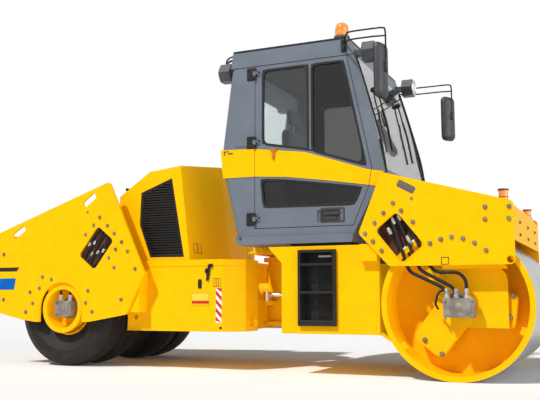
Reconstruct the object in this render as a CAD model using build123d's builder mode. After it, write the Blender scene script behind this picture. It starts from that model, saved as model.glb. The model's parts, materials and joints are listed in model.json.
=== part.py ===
from build123d import *
import os
from math import atan2, cos, degrees, hypot, radians, sin, sqrt

os.makedirs("parts", exist_ok=True)

# Combination roller: a steel drum in front, four smooth tyres behind, and a
# cab on the front frame that overhangs the centre articulation.
# +X forward, +Y left, +Z up, millimetres. The origin is on the ground, in the
# middle of the machine's length and width.

# Driving sizes of the machine
drum_diameter = 1200.0
tyre_diameter = 1102.0
tyre_width = 290.0
tyre_gap = 18.0
plate_span = 1810.0
cab_length = 1530.0
cab_height = 1783.0
tail_overhang = 950.0
ground_clearance = 350.0
mirror_overhang = 309.0

# How far the bodies stay inside the side plates, on each side
drum_inset = 65.0
tyre_inset = 79.0
front_frame_inset = 90.0
rear_frame_inset = 150.0
hood_inset = 185.0
cab_inset = 114.0

# How the cab sits between the pivot and the drum
cab_behind_pivot = 217.0
nose_over_drum = 28.0
floor_below_drum = 83.0

# Sheet, plate and clearance sizes that several pieces share
plate_thickness = 25.0
wall = 20.0
hood_sheet = 8.0
glass_thickness = 8.0
band_thickness = 6.0
running_gap = 0.3
pin_clearance = 0.1
door_gap = 6.0
overrun = 60.0

# Places that follow from the driving sizes
drum_radius = drum_diameter / 2
tyre_radius = tyre_diameter / 2
half_base = cab_length - cab_behind_pivot + drum_radius - nose_over_drum
overall_length = drum_radius + 2 * half_base + tail_overhang
tail_x = -overall_length / 2
drum_x = overall_length / 2 - drum_radius
pivot_x = drum_x - half_base
tyre_x = pivot_x - half_base
cab_rear_x = pivot_x - cab_behind_pivot
cab_front_x = cab_rear_x + cab_length
cab_floor_height = drum_diameter - floor_below_drum
roof_height = cab_floor_height + cab_height
plate_outer = plate_span / 2
plate_inner = plate_outer - plate_thickness
drum_side = plate_outer - drum_inset
tyre_side = plate_outer - tyre_inset
front_frame_side = plate_outer - front_frame_inset
rear_frame_side = plate_outer - rear_frame_inset
hood_side = plate_outer - hood_inset
cab_side = plate_outer - cab_inset
sides = (("right", 1), ("left", -1))


def side_plane(side, reach):
    """Upright plane along the machine, at a distance out to one side."""
    return Plane.XZ.offset(side * reach)


def placed(shares, low, size):
    """Points of an outline from shares of a size, from its low corner."""
    return [(low[0] + s * size[0], low[1] + t * size[1]) for s, t in shares]


def keep(part, label):
    """Label a finished piece and write it as a file of its own."""
    part.label = label
    export_step(part, f"parts/{label}.step")


# Front side plates, with their window, slot and hole
front_plate_behind = 166.0
front_plate_ahead = 468.0
front_plate_drop = 296.0
front_plate_height = 770.0
plate_nose_share = 0.63
plate_peak_share = 0.163
front_plate_shares = ((0.206, 0), (1, 0), (1, plate_nose_share), (plate_peak_share, 1),
                      (0, 0.353))
plate_corner = 40.0
front_plate_back = drum_radius + front_plate_behind
front_plate_length = front_plate_back + front_plate_ahead
front_plate_base = drum_diameter - front_plate_drop
front_plate_low = (drum_x - front_plate_back, front_plate_base)
front_plate_size = (front_plate_length, front_plate_height)
window_length = 350.0
window_width = 235.0
window_corner = 40.0
front_window_tilt = -51.0
front_window_share = (0.277, 0.299)
slot_length = 165.0
slot_width = 62.0
slot_corner = 18.0
front_slot_tilt = -29.0
front_slot_share = (0.327, 0.829)
lashing_radius = 28.0
lashing_share = (0.972, 0.049)
front_window_at = placed((front_window_share,), front_plate_low, front_plate_size)[0]
front_slot_at = placed((front_slot_share,), front_plate_low, front_plate_size)[0]
lashing_at = placed((lashing_share,), front_plate_low, front_plate_size)[0]

with BuildPart() as front_plates:
    for name, side in sides:
        with BuildSketch(side_plane(side, plate_inner)) as front_plate_face:
            with BuildLine():
                Polyline(*placed(front_plate_shares, front_plate_low, front_plate_size),
                         close=True)
            make_face()
            fillet(front_plate_face.vertices(), plate_corner)
            with Locations(front_window_at):
                RectangleRounded(window_length, window_width, window_corner,
                                 rotation=front_window_tilt, mode=Mode.SUBTRACT)
            with Locations(front_slot_at):
                RectangleRounded(slot_length, slot_width, slot_corner,
                                 rotation=front_slot_tilt, mode=Mode.SUBTRACT)
            with Locations(lashing_at):
                Circle(lashing_radius, mode=Mode.SUBTRACT)
        extrude(amount=side * plate_thickness)
keep(front_plates.part, "front_plates")

# Front frame: a hollow box under the cab, with the spacers that carry the
# front plates and the two lugs that hold the articulation yoke
frame_to_drum = 20.0
frame_to_pivot = 395.0
front_frame_front_x = drum_x - drum_radius - frame_to_drum
front_frame_rear_x = pivot_x + frame_to_pivot
front_frame_length = front_frame_front_x - front_frame_rear_x
cab_mount_height = 27.0
front_frame_top = cab_floor_height - cab_mount_height
deck_overhang = 130.0
deck_chamfer = 140.0
deck_ear = 75.0
shelf_rear = 130.0
shelf_half = 380.0
shelf_thickness = 30.0
step_rear = 162.0
step_length = 338.0
step_ground = 66.0
step_headroom = 33.0
step_depth = 90.0
lug_half_width = 130.0
lug_thickness = 40.0
lower_lug_rise = 40.0
upper_lug_drop = 90.0
rear_opening_half = 400.0
spacer_length = 146.0
spacer_lift = 46.0
step_base = ground_clearance + step_ground
step_height = front_frame_top - step_headroom - step_base
lower_lug_z = ground_clearance + lower_lug_rise
upper_lug_z = front_frame_top - upper_lug_drop
spacer_low = front_plate_base + spacer_lift
front_outline = [
    (front_frame_rear_x, ground_clearance),
    (front_frame_front_x, ground_clearance),
    (front_frame_front_x, front_frame_top),
    (front_frame_rear_x - deck_overhang, front_frame_top),
    (front_frame_rear_x, front_frame_top - deck_chamfer),
]
step_middle = (front_frame_rear_x + step_rear + step_length / 2, step_base + step_height / 2)

with BuildPart() as front_frame:
    with BuildSketch(Plane.XZ):
        with BuildLine():
            Polyline(*front_outline, close=True)
        make_face()
    extrude(amount=front_frame_side, both=True)
    with BuildSketch(Plane.XZ) as front_hollow:
        with BuildLine():
            Polyline(*front_outline, close=True)
        make_face()
        offset(amount=-wall)
    extrude(amount=front_frame_side - step_depth - wall, both=True, mode=Mode.SUBTRACT)
    with BuildSketch(Plane.XY.offset(front_frame_top - deck_chamfer)):
        with Locations((front_frame_rear_x - deck_overhang, 0)):
            Rectangle(2 * deck_overhang, 2 * (front_frame_side - deck_ear))
    extrude(amount=deck_chamfer + overrun, mode=Mode.SUBTRACT)
    with BuildSketch(Plane.YZ.offset(front_frame_rear_x)):
        with Locations((0, front_frame_top - deck_chamfer / 2 - wall / 2)):
            Rectangle(2 * (front_frame_side - deck_ear), deck_chamfer + wall)
    extrude(amount=wall)
    with BuildSketch(Plane.YZ.offset(front_frame_rear_x)):
        with Locations((0, (lower_lug_z + lug_thickness + upper_lug_z) / 2)):
            Rectangle(2 * rear_opening_half, upper_lug_z - lower_lug_z - lug_thickness)
    extrude(amount=overrun, both=True, mode=Mode.SUBTRACT)
    with BuildSketch(Plane.XY.offset(front_frame_top - shelf_thickness)):
        with Locations(((pivot_x - shelf_rear + front_frame_rear_x + wall) / 2, 0)):
            Rectangle(front_frame_rear_x + wall - pivot_x + shelf_rear, 2 * shelf_half)
    extrude(amount=shelf_thickness)
    for level in (lower_lug_z, upper_lug_z):
        with BuildSketch(Plane.XY.offset(level)):
            with Locations((pivot_x, 0)):
                Circle(lug_half_width)
            with Locations(((pivot_x + front_frame_rear_x + wall) / 2, 0)):
                Rectangle(front_frame_rear_x + wall - pivot_x, 2 * lug_half_width)
        extrude(amount=lug_thickness)
    for name, side in sides:
        with BuildSketch(side_plane(side, front_frame_side)):
            with Locations(step_middle):
                Rectangle(step_length, step_height)
        extrude(amount=-side * step_depth, mode=Mode.SUBTRACT)
        with BuildSketch(side_plane(side, front_frame_side)):
            with Locations((front_frame_front_x - spacer_length / 2,
                            (spacer_low + front_frame_top) / 2)):
                Rectangle(spacer_length, front_frame_top - spacer_low)
        extrude(amount=side * (plate_inner - front_frame_side))

# Articulation: pins in the lugs, the yoke that turns on them, and the trunnion
# on which the rear frame rocks
pin_radius = 45.0
pin_head_radius = 75.0
pin_head = 14.0
pin_length = 90.0
yoke_radius = 88.0
trunnion_radius = 80.0
bearing_behind = 255.0
trunnion_tail = 45.0
collar_radius = 105.0
collar_thickness = 30.0
ear_reach = 240.0
ear_radius = 44.0
ear_thickness = 40.0
ear_drop = 130.0
bearing_x = pivot_x - bearing_behind
trunnion_z = (lower_lug_z + lug_thickness + upper_lug_z) / 2
ear_z = trunnion_z - ear_drop
upper_lug_top = upper_lug_z + lug_thickness

with BuildPart(mode=Mode.PRIVATE) as lug_bores:
    with BuildSketch(Plane.XY.offset(ground_clearance)):
        with Locations((pivot_x, 0)):
            Circle(pin_radius)
    extrude(amount=front_frame_top - ground_clearance)
with BuildPart() as front_frame_bored:
    add(front_frame.part)
    add(lug_bores.part, mode=Mode.SUBTRACT)
keep(front_frame_bored.part, "front_frame")

with BuildPart() as pivot_pins:
    for lug_face, inward in ((lower_lug_z, 1), (upper_lug_top, -1)):
        with BuildSketch(Plane.XY.offset(lug_face)):
            with Locations((pivot_x, 0)):
                Circle(pin_head_radius)
        extrude(amount=-inward * pin_head)
        with BuildSketch(Plane.XY.offset(lug_face)):
            with Locations((pivot_x, 0)):
                Circle(pin_radius)
        extrude(amount=inward * pin_length)
keep(pivot_pins.part, "pivot_pins")

yoke_low = lower_lug_z + lug_thickness + running_gap
yoke_high = upper_lug_z - running_gap
trunnion_end_x = bearing_x - plate_thickness - trunnion_tail
with BuildPart() as yoke:
    with BuildSketch(Plane.XY.offset(yoke_low)):
        with Locations((pivot_x, 0)):
            Circle(yoke_radius)
    extrude(amount=yoke_high - yoke_low)
    with BuildSketch(Plane.YZ.offset(pivot_x)):
        with Locations((0, trunnion_z)):
            Circle(trunnion_radius)
    extrude(amount=trunnion_end_x - pivot_x)
    with BuildSketch(Plane.YZ.offset(bearing_x + running_gap)):
        with Locations((0, trunnion_z)):
            Circle(collar_radius)
    extrude(amount=collar_thickness)
    with BuildSketch(Plane.XY.offset(ear_z)):
        with Locations((pivot_x, 0)):
            SlotCenterToCenter(2 * ear_reach, 2 * ear_radius, rotation=90)
    extrude(amount=ear_thickness)
    with BuildSketch(Plane.XY.offset(yoke_low)):
        with Locations((pivot_x, 0)):
            Circle(pin_radius + pin_clearance)
    extrude(amount=pin_length - lug_thickness + pin_clearance, mode=Mode.SUBTRACT)
    with BuildSketch(Plane.XY.offset(yoke_high)):
        with Locations((pivot_x, 0)):
            Circle(pin_radius + pin_clearance)
    extrude(amount=-(pin_length - lug_thickness + pin_clearance), mode=Mode.SUBTRACT)
keep(yoke.part, "yoke")

# Steering cylinders: barrels pinned in the front frame, rods that reach the
# ears of the yoke
barrel_pin_ahead = 560.0
barrel_pin_side = 218.0
cylinder_drop = 35.0
cylinder_z = trunnion_z - cylinder_drop
barrel_radius = 44.0
barrel_length = 370.0
barrel_start = 56.0
barrel_neck_radius = 27.0
rod_radius = 22.0
cylinder_eye_radius = 40.0
cylinder_eye_height = 60.0
cylinder_pin_radius = 20.0
clevis_thickness = 22.0
clevis_radius = 46.0
clevis_length = 120.0
barrel_pin_x = pivot_x + barrel_pin_ahead
cylinder_pin_span = hypot(barrel_pin_ahead, ear_reach - barrel_pin_side)
cylinder_tilt = degrees(atan2(ear_reach - barrel_pin_side, barrel_pin_ahead))
rod_eye_base = ear_z + ear_thickness + running_gap
rod_eye_height = cylinder_z + cylinder_eye_height / 2 - rod_eye_base
rod_insertion = 158.0
barrel_bottom = 70.0

for name, side in sides:
    toward_ear = Plane(origin=(barrel_pin_x, -side * barrel_pin_side, cylinder_z),
                       x_dir=(0, 1, 0),
                       z_dir=(-cos(radians(cylinder_tilt)),
                              -side * sin(radians(cylinder_tilt)), 0))
    ear_at = (pivot_x, -side * ear_reach)
    pin_at = (barrel_pin_x, -side * barrel_pin_side)
    with BuildPart() as barrel:
        with BuildSketch(toward_ear.offset(cylinder_eye_radius / 2)):
            Circle(barrel_neck_radius)
        extrude(amount=barrel_start)
        with BuildSketch(toward_ear.offset(barrel_start)):
            Circle(barrel_radius)
        extrude(amount=barrel_length - barrel_start)
        with BuildSketch(Plane.XY.offset(cylinder_z - cylinder_eye_height / 2)):
            with Locations(pin_at):
                Circle(cylinder_eye_radius)
        extrude(amount=cylinder_eye_height)
        with BuildSketch(toward_ear.offset(barrel_bottom)):
            Circle(rod_radius + pin_clearance)
        extrude(amount=barrel_length, mode=Mode.SUBTRACT)
        with BuildSketch(Plane.XY.offset(cylinder_z - cylinder_eye_height / 2)):
            with Locations(pin_at):
                Circle(cylinder_pin_radius + pin_clearance)
        extrude(amount=cylinder_eye_height, mode=Mode.SUBTRACT)
    keep(barrel.part, f"steering_barrel_{name}")
    with BuildPart() as rod:
        with BuildSketch(toward_ear.offset(cylinder_pin_span)):
            Circle(rod_radius)
        extrude(amount=barrel_length - rod_insertion - cylinder_pin_span)
        with BuildSketch(Plane.XY.offset(rod_eye_base)):
            with Locations(ear_at):
                Circle(cylinder_eye_radius)
        extrude(amount=rod_eye_height)
    keep(rod.part, f"steering_rod_{name}")

with BuildPart() as cylinder_clevises:
    for name, side in sides:
        pin_at = (barrel_pin_x, -side * barrel_pin_side)
        for low in (cylinder_z - cylinder_eye_height / 2 - running_gap - clevis_thickness,
                    cylinder_z + cylinder_eye_height / 2 + running_gap):
            with BuildSketch(Plane.XY.offset(low)):
                with Locations(pin_at):
                    Circle(clevis_radius)
                with Locations((barrel_pin_x + clevis_length / 2, -side * barrel_pin_side)):
                    Rectangle(clevis_length, 2 * clevis_radius)
            extrude(amount=clevis_thickness)
        with BuildSketch(Plane.XY.offset(cylinder_z - cylinder_eye_height / 2
                                         - running_gap)):
            with Locations(pin_at):
                Circle(cylinder_pin_radius)
        extrude(amount=cylinder_eye_height + 2 * running_gap)
    with BuildSketch(Plane.YZ.offset(barrel_pin_x + clevis_length)):
        with Locations((0, (ground_clearance + wall + front_frame_top - wall) / 2)):
            Rectangle(2 * (front_frame_side - step_depth - wall),
                      front_frame_top - ground_clearance - 2 * wall)
    extrude(amount=wall)
keep(cylinder_clevises.part, "cylinder_bulkhead")

# Steps in the sides of the front frame
step_rail = 24.0
step_proud = 35.0
tread_height = 22.0
tread_shares = (0.06, 0.438, 0.806)
step_back_sheet = 6.0
with BuildPart() as steps:
    for name, side in sides:
        with BuildSketch(side_plane(side, front_frame_side - step_depth)):
            with Locations(step_middle):
                Rectangle(step_length, step_height)
        extrude(amount=side * step_back_sheet)
        with BuildSketch(side_plane(side, front_frame_side - step_depth)):
            with Locations(step_middle):
                Rectangle(step_length, step_height)
                Rectangle(step_length - 2 * step_rail, step_height - 2 * step_rail,
                          mode=Mode.SUBTRACT)
        extrude(amount=side * (step_depth + step_proud))
        for share in tread_shares:
            with BuildSketch(side_plane(side, front_frame_side - step_depth)):
                with Locations((step_middle[0], step_base + share * step_height)):
                    Rectangle(step_length, tread_height)
            extrude(amount=side * (step_depth + step_proud))
keep(steps.part, "steps")

# Drum: steel tube with a painted cup in each end, rubber-mounted carriers and
# the spindles in their middle
shell_thickness = 28.0
cup_thickness = 16.0
cup_face = 6.0
web_thickness = 25.0
web_depth = 330.0
web_hole = 120.0
lug_reach = 45.0
lug_width = 60.0
lug_depth = 40.0
lug_set = 22.0
cup_lugs = 3
cup_lug_turn = 338.0
carrier_thickness = 100.0
carrier_gap = 60.0
carrier_hub = 150.0
carrier_reach_share = 0.77
carrier_arm_width = 290.0
carrier_corner = 60.0
carrier_arms = 3
carrier_turn = 232.0
buffer_radius = 85.0
buffer_share = 0.6
spindle_radius = 70.0
web_y = drum_side - web_depth
shell_inner = drum_radius - shell_thickness
cup_inner = shell_inner - cup_thickness
carrier_reach = carrier_reach_share * shell_inner
carrier_y = web_y + web_thickness + carrier_gap
drum_axis = Axis((drum_x, 0, drum_radius), (0, 1, 0))

with BuildPart() as drum_shell:
    with BuildSketch(Plane.YZ.offset(drum_x)):
        with Locations((0, drum_radius + (drum_radius + shell_inner) / 2)):
            Rectangle(2 * (drum_side - cup_face), shell_thickness)
    revolve(axis=drum_axis)
keep(drum_shell.part, "drum_shell")

with BuildPart() as drum_ends:
    for name, side in sides:
        cup_profile = [
            (web_y, web_hole), (web_y + web_thickness, web_hole),
            (web_y + web_thickness, cup_inner), (drum_side, cup_inner),
            (drum_side, drum_radius), (drum_side - cup_face, drum_radius),
            (drum_side - cup_face, shell_inner), (web_y, shell_inner),
        ]
        with BuildSketch(Plane.YZ.offset(drum_x)):
            with BuildLine():
                Polyline(*[(-side * out, drum_radius + up) for out, up in cup_profile],
                         close=True)
            make_face()
        revolve(axis=drum_axis)
        with BuildSketch(side_plane(side, drum_side - lug_set - lug_depth)):
            with Locations((drum_x, drum_radius)):
                with PolarLocations(cup_inner - (lug_reach - cup_thickness) / 2, cup_lugs,
                                    start_angle=cup_lug_turn):
                    Rectangle(lug_reach, lug_width)
        extrude(amount=side * lug_depth)
keep(drum_ends.part, "drum_ends")

arm_thickness = 25.0
arm_inner = plate_inner - arm_thickness
arm_crank = 140.0
crank_outer = plate_inner - arm_crank
crank_inner = crank_outer - arm_thickness
with BuildPart() as drum_carriers:
    for name, side in sides:
        with BuildSketch(side_plane(side, carrier_y)):
            with Locations((drum_x, drum_radius)):
                Circle(carrier_hub)
                for turn in range(carrier_arms):
                    with Locations(Location((0, 0), carrier_turn + turn * 360 / carrier_arms)):
                        with Locations((carrier_reach / 2, 0)):
                            RectangleRounded(carrier_reach, carrier_arm_width,
                                             carrier_corner)
        extrude(amount=side * carrier_thickness)
        with BuildSketch(side_plane(side, carrier_y + carrier_thickness)):
            with Locations((drum_x, drum_radius)):
                Circle(spindle_radius)
        extrude(amount=side * (crank_inner - running_gap - carrier_y - carrier_thickness))
keep(drum_carriers.part, "drum_carriers")

with BuildPart() as drum_buffers:
    for name, side in sides:
        with BuildSketch(side_plane(side, web_y + web_thickness)):
            with Locations((drum_x, drum_radius)):
                with PolarLocations(buffer_share * shell_inner, carrier_arms,
                                    start_angle=carrier_turn):
                    Circle(buffer_radius)
        extrude(amount=side * carrier_gap)
keep(drum_buffers.part, "drum_buffers")

# Arms that hang from the front plates, cranked into the drum's ends, and the
# motors on them
arm_top_drop = 190.0
arm_ahead = 385.0
arm_behind = 90.0
arm_drop = 183.0
arm_hub_radius = 175.0
arm_front_corner = 120.0
arm_rear_corner = 60.0
crank_rise = 275.0
motor_radius = 95.0
motor_foot = 60.0
motor_depth = 90.0
motor_length = 240.0
motor_height = 150.0
motor_ahead = 30.0
motor_below = 27.0
arm_top = drum_diameter - arm_top_drop
crank_base = drum_radius + crank_rise
arm_middle_x = drum_x + (arm_ahead - arm_behind) / 2
with BuildPart() as drum_arms:
    for name, side in sides:
        with BuildSketch(side_plane(side, arm_inner)):
            with Locations((arm_middle_x, (arm_top + crank_base) / 2)):
                Rectangle(arm_ahead + arm_behind, arm_top - crank_base)
        extrude(amount=side * arm_thickness)
        with BuildSketch(side_plane(side, crank_inner)):
            with Locations((arm_middle_x, crank_base + arm_thickness / 2)):
                Rectangle(arm_ahead + arm_behind, arm_thickness)
        extrude(amount=side * (plate_inner - crank_inner))
        with BuildSketch(side_plane(side, crank_inner)) as arm_face:
            with BuildLine():
                Polyline((drum_x - arm_behind, crank_base + arm_thickness),
                         (drum_x + arm_ahead, crank_base + arm_thickness),
                         (drum_x + arm_ahead, drum_radius - arm_drop),
                         (drum_x - arm_behind, drum_radius - arm_drop), close=True)
            make_face()
            fillet(arm_face.vertices().sort_by(Axis.X)[-2:].sort_by(Axis.Z)[0],
                   arm_front_corner)
            fillet(arm_face.vertices().sort_by(Axis.X)[:2].sort_by(Axis.Z)[0],
                   arm_rear_corner)
            with Locations((drum_x, drum_radius)):
                Circle(arm_hub_radius)
        extrude(amount=side * arm_thickness)
keep(drum_arms.part, "drum_arms")

with BuildPart() as drum_motors:
    for name, side in sides:
        with BuildSketch(side_plane(side, crank_outer)):
            with Locations((drum_x, drum_radius)):
                Circle(motor_radius)
        extrude(amount=side * motor_foot)
        with BuildSketch(side_plane(side, crank_outer + motor_foot)):
            with Locations((drum_x + motor_ahead, drum_radius - motor_below)):
                Rectangle(motor_length, motor_height)
        extrude(amount=side * motor_depth)
keep(drum_motors.part, "drum_motors")

# Front beam between the plates, the water tank over the drum and the two lamps
beam_length = 128.0
beam_rear_drop = 50.0
beam_front_drop = 110.0
beam_rise = 200.0
beam_front_rise = 135.0
beam_flat = 85.0
beam_rear_base = drum_diameter - beam_rear_drop
beam_front_base = drum_diameter - beam_front_drop
beam_top = drum_diameter + beam_rise
beam_front_top = drum_diameter + beam_front_rise
beam_front_x = drum_x - front_plate_back + front_plate_length
beam_rear_x = beam_front_x - beam_length
with BuildPart() as front_beam:
    with BuildSketch(Plane.XZ):
        with BuildLine():
            Polyline((beam_rear_x, beam_rear_base), (beam_front_x, beam_front_base),
                     (beam_front_x, beam_front_top), (beam_rear_x + beam_flat, beam_top),
                     (beam_rear_x, beam_top), close=True)
        make_face()
    extrude(amount=plate_inner, both=True)
keep(front_beam.part, "front_beam")

tank_clearance = 45.0
tank_to_cab = 46.0
tank_step = 400.0
tank_rear_rise = 220.0
tank_rear_drop = 173.0
tank_front_drop = 34.0
tank_rear_x = cab_front_x + tank_to_cab
tank_low_x = tank_rear_x + tank_step
tank_bottom = drum_diameter + tank_clearance
tank_rear_bottom = drum_diameter + tank_rear_rise
plate_slope = ((plate_nose_share - 1) * front_plate_height
               / ((1 - plate_peak_share) * front_plate_length))
plate_top_rear = front_plate_base + front_plate_height
plate_top_rear_x = drum_x - front_plate_back + plate_peak_share * front_plate_length


def front_top(x):
    """Height of the front plates' upper edge at a place along the machine."""
    return plate_top_rear + plate_slope * (x - plate_top_rear_x)


with BuildPart() as front_tank:
    with BuildSketch(Plane.XZ):
        with BuildLine():
            Polyline((tank_rear_x, tank_rear_bottom), (tank_low_x, tank_rear_bottom),
                     (tank_low_x, tank_bottom), (beam_rear_x, tank_bottom),
                     (beam_rear_x, front_top(beam_rear_x) - tank_front_drop),
                     (tank_rear_x, front_top(tank_rear_x) - tank_rear_drop), close=True)
        make_face()
    extrude(amount=plate_inner, both=True)
keep(front_tank.part, "front_tank")

lamp_radius = 36.0
lamp_height = 80.0
lamp_cap = 14.0
lamp_cap_radius = 42.0
lamp_inset = 80.0
lamp_ahead = 385.0
with BuildPart() as marker_lamps:
    for name, side in sides:
        with BuildSketch(Plane.XY.offset(beam_top)):
            with Locations((drum_x + lamp_ahead, -side * (plate_inner - lamp_inset))):
                Circle(lamp_radius)
        extrude(amount=lamp_height)
        with BuildSketch(Plane.XY.offset(beam_top + lamp_height)):
            with Locations((drum_x + lamp_ahead, -side * (plate_inner - lamp_inset))):
                Circle(lamp_cap_radius)
        extrude(amount=lamp_cap)
keep(marker_lamps.part, "marker_lamps")

# Hoses that run from the tank down behind each front plate to the drum motor,
# by places in drum radii from the drum's centre
hose_radius = 14.0
hose_bend = 100.0
hose_y = plate_inner - hose_radius - door_gap
drum_hose_shares = (
    ((-0.833, 1.15), (-0.6, 0.433), (-0.108, 0.2)),
    ((-0.75, 1.17), (-0.45, 0.45), (0.017, 0.2)),
    ((-0.667, 1.19), (-0.267, 0.417), (0.15, 0.417)),
)
with BuildPart() as drum_hoses:
    for name, side in sides:
        for shares in drum_hose_shares:
            turns = placed(shares, (drum_x, drum_radius), (drum_radius, drum_radius))
            places = [(turns[0][0], tank_rear_bottom), *turns,
                      (turns[-1][0], drum_radius - motor_below + motor_height / 2)]
            with BuildLine() as route:
                FilletPolyline(*[(x, -side * hose_y, z) for x, z in places],
                               radius=hose_bend)
            with BuildSketch(Plane(origin=route.line @ 0, z_dir=route.line % 0)):
                Circle(hose_radius)
            sweep(path=route.line)
keep(drum_hoses.part, "drum_hoses")

# Scraper blade that hangs from the front frame to the drum
scraper_angle = 208.0
scraper_clearance = 6.0
scraper_thickness = 16.0
scraper_width_share = 0.95
scraper_tip = (drum_x + (drum_radius + scraper_clearance) * cos(radians(scraper_angle)),
               drum_radius + (drum_radius + scraper_clearance) * sin(radians(scraper_angle)))
with BuildPart() as drum_scraper:
    with BuildSketch(Plane.XZ):
        with BuildLine():
            Polyline((front_frame_front_x, ground_clearance),
                     (front_frame_front_x, ground_clearance + 2 * scraper_thickness),
                     scraper_tip,
                     (scraper_tip[0] - scraper_thickness / 2, scraper_tip[1] - scraper_thickness),
                     close=True)
        make_face()
    extrude(amount=scraper_width_share * drum_side, both=True)
keep(drum_scraper.part, "drum_scraper")

# Cab shell: side outline shared by the frame, the floor, the roof and the glass
cab_low = (cab_rear_x, cab_floor_height)
cab_size = (cab_length, cab_height)
cab_wall = 40.0
cab_rear_corner = 60.0
corner_share = 0.112
cab_lower_shares = ((1, 0.3266), (0.9595, 0.2595), (0.8255, 0.0431), (0.8163, 0),
                    (0.1196, 0), (0.0915, 0.0783), (0.0183, 0.3417), (0, 0.4883),
                    (0.0542, 0.8512), (0.0797, 1), (0.798, 1))
windshield_bulge_share = (0.932, 0.611)
floor_share = 0.046
cab_floor_top = cab_floor_height + floor_share * cab_height
cab_points = placed(cab_lower_shares, cab_low, cab_size)
windshield_bulge = placed((windshield_bulge_share,), cab_low, cab_size)[0]


def cab_outline(inset=0.0):
    """Side outline of the cab as a face, moved inward by a distance."""
    with BuildSketch() as face:
        with BuildLine():
            Polyline(*cab_points)
            ThreePointArc(cab_points[-1], windshield_bulge, cab_points[0])
        make_face()
        if inset:
            offset(amount=-inset, kind=Kind.INTERSECTION)
    return face.sketch_local


def cab_block(half_width, inset=0.0):
    """Solid with the cab's side outline, as wide as asked."""
    with BuildPart() as block:
        with BuildSketch(Plane.XZ):
            add(cab_outline(inset))
        extrude(amount=half_width, both=True)
    return block.part


def rear_corner_edges(block):
    """Edges of the cab's sides that run down its rear corners."""
    reach = cab_rear_x + corner_share * cab_length
    return [edge for edge in block.edges()
            if edge.center().X < reach and abs(edge.center().Y) > cab_side - running_gap]


def slab(low, high, half_width):
    """Level block that spans the cab between two heights."""
    with BuildPart() as block:
        with BuildSketch(Plane.XY.offset(low)):
            with Locations((cab_rear_x + cab_length / 2, 0)):
                Rectangle(cab_length + 2 * overrun, 2 * half_width)
        extrude(amount=high - low)
    return block.part


# Doors: outline, windows and the yellow band, by shares of the door's size
door_behind = 346.0
door_ahead = 108.0
door_sill = 145.0
door_head = 168.0
door_rear_x = cab_rear_x + door_behind
door_base = cab_floor_height + door_sill
door_length = cab_length - door_behind - door_ahead
door_height = cab_height - door_sill - door_head
door_low = (door_rear_x, door_base)
door_size = (door_length, door_height)
cab_roof_base = door_base + door_height + door_gap
door_shares = ((0, 0), (0.847, 0), (0.977, 0.224), (1, 0.325), (0.805, 1), (0, 1))
band_top_shares = ((-0.33, 0.4952), (0, 0.485), (0.45, 0.4422), (0.97, 0.3143), (1.15, 0.29))
band_bottom_shares = ((1.15, 0.2), (0.977, 0.224), (0.611, 0.268), (0.283, 0.3014),
                      (0, 0.3156), (-0.33, 0.317))
upper_window_shares = ((0.065, 0.51), (0.45, 0.458), (0.963, 0.335), (0.781, 0.975),
                       (0.065, 0.975))
lower_window_shares = ((0.075, 0.123), (0.86, 0.115), (0.925, 0.215), (0.611, 0.25),
                       (0.283, 0.284), (0.05, 0.298))
window_round = 30.0
mullion_share = 0.49
mullion_width = 26.0
door_thickness = 34.0
handle_at_share = (0.642, 0.057)
handle_length = 205.0
handle_height = 100.0
handle_depth = 14.0
handle_bar = 30.0


def door_face(grow=0.0):
    """Outline of a door as a face, moved outward by a distance."""
    with BuildSketch() as face:
        with BuildLine():
            Polyline(*placed(door_shares, door_low, door_size), close=True)
        make_face()
        if grow:
            offset(amount=grow, kind=Kind.INTERSECTION)
    return face.sketch_local


def band_face():
    """The yellow band as seen from the side, from end to end of the cab."""
    with BuildSketch() as face:
        with BuildLine():
            Polyline(*placed(band_top_shares + band_bottom_shares, door_low, door_size),
                     close=True)
        make_face()
    return face.sketch_local


windshield_post = 74.0
windshield_shares = (0.779, 0.3466)
rear_window_post = 231.0
rear_window_rise = 933.0
rear_window_share = 0.314
rear_wall_share = 0.333
windshield_half = cab_side - windshield_post
windshield_base = cab_floor_height + windshield_shares[1] * cab_height
windshield_rear_x = cab_rear_x + windshield_shares[0] * cab_length
rear_window_half = cab_side - rear_window_post
rear_window_base = cab_floor_height + rear_window_rise
rear_window_height = rear_window_share * cab_height

with BuildPart() as cab_frame:
    add(cab_block(cab_side))
    fillet(rear_corner_edges(cab_frame), cab_rear_corner)
    add(cab_block(cab_side - cab_wall, cab_wall), mode=Mode.SUBTRACT)
    add(slab(cab_floor_height - overrun, cab_floor_top, cab_side + overrun),
        mode=Mode.SUBTRACT)
    add(slab(cab_roof_base, roof_height + overrun, cab_side + overrun), mode=Mode.SUBTRACT)
    with BuildSketch(Plane.XZ):
        add(door_face(door_gap))
    extrude(amount=cab_side + overrun, both=True, mode=Mode.SUBTRACT)
    with BuildSketch(Plane.YZ.offset(windshield_rear_x)):
        with Locations((0, (windshield_base + cab_roof_base + overrun) / 2)):
            Rectangle(2 * windshield_half, cab_roof_base + overrun - windshield_base)
    extrude(amount=cab_length / 2, mode=Mode.SUBTRACT)
    with BuildSketch(Plane.YZ.offset(cab_rear_x - overrun)):
        with Locations((0, rear_window_base + rear_window_height / 2)):
            RectangleRounded(2 * rear_window_half, rear_window_height, window_round)
    extrude(amount=rear_wall_share * cab_length, mode=Mode.SUBTRACT)
keep(cab_frame.part, "cab_frame")

sill_height = 70.0
sill_proud = 20.0
with BuildPart(mode=Mode.PRIVATE) as floor_block:
    add(cab_block(cab_side))
    add(slab(cab_floor_height, cab_floor_top, cab_side + overrun), mode=Mode.INTERSECT)
with BuildPart() as cab_floor:
    add(cab_block(cab_side + sill_proud))
    add(slab(cab_floor_height, cab_floor_height + sill_height, cab_side + overrun),
        mode=Mode.INTERSECT)
    add(floor_block.part)
keep(cab_floor.part, "cab_floor")

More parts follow.
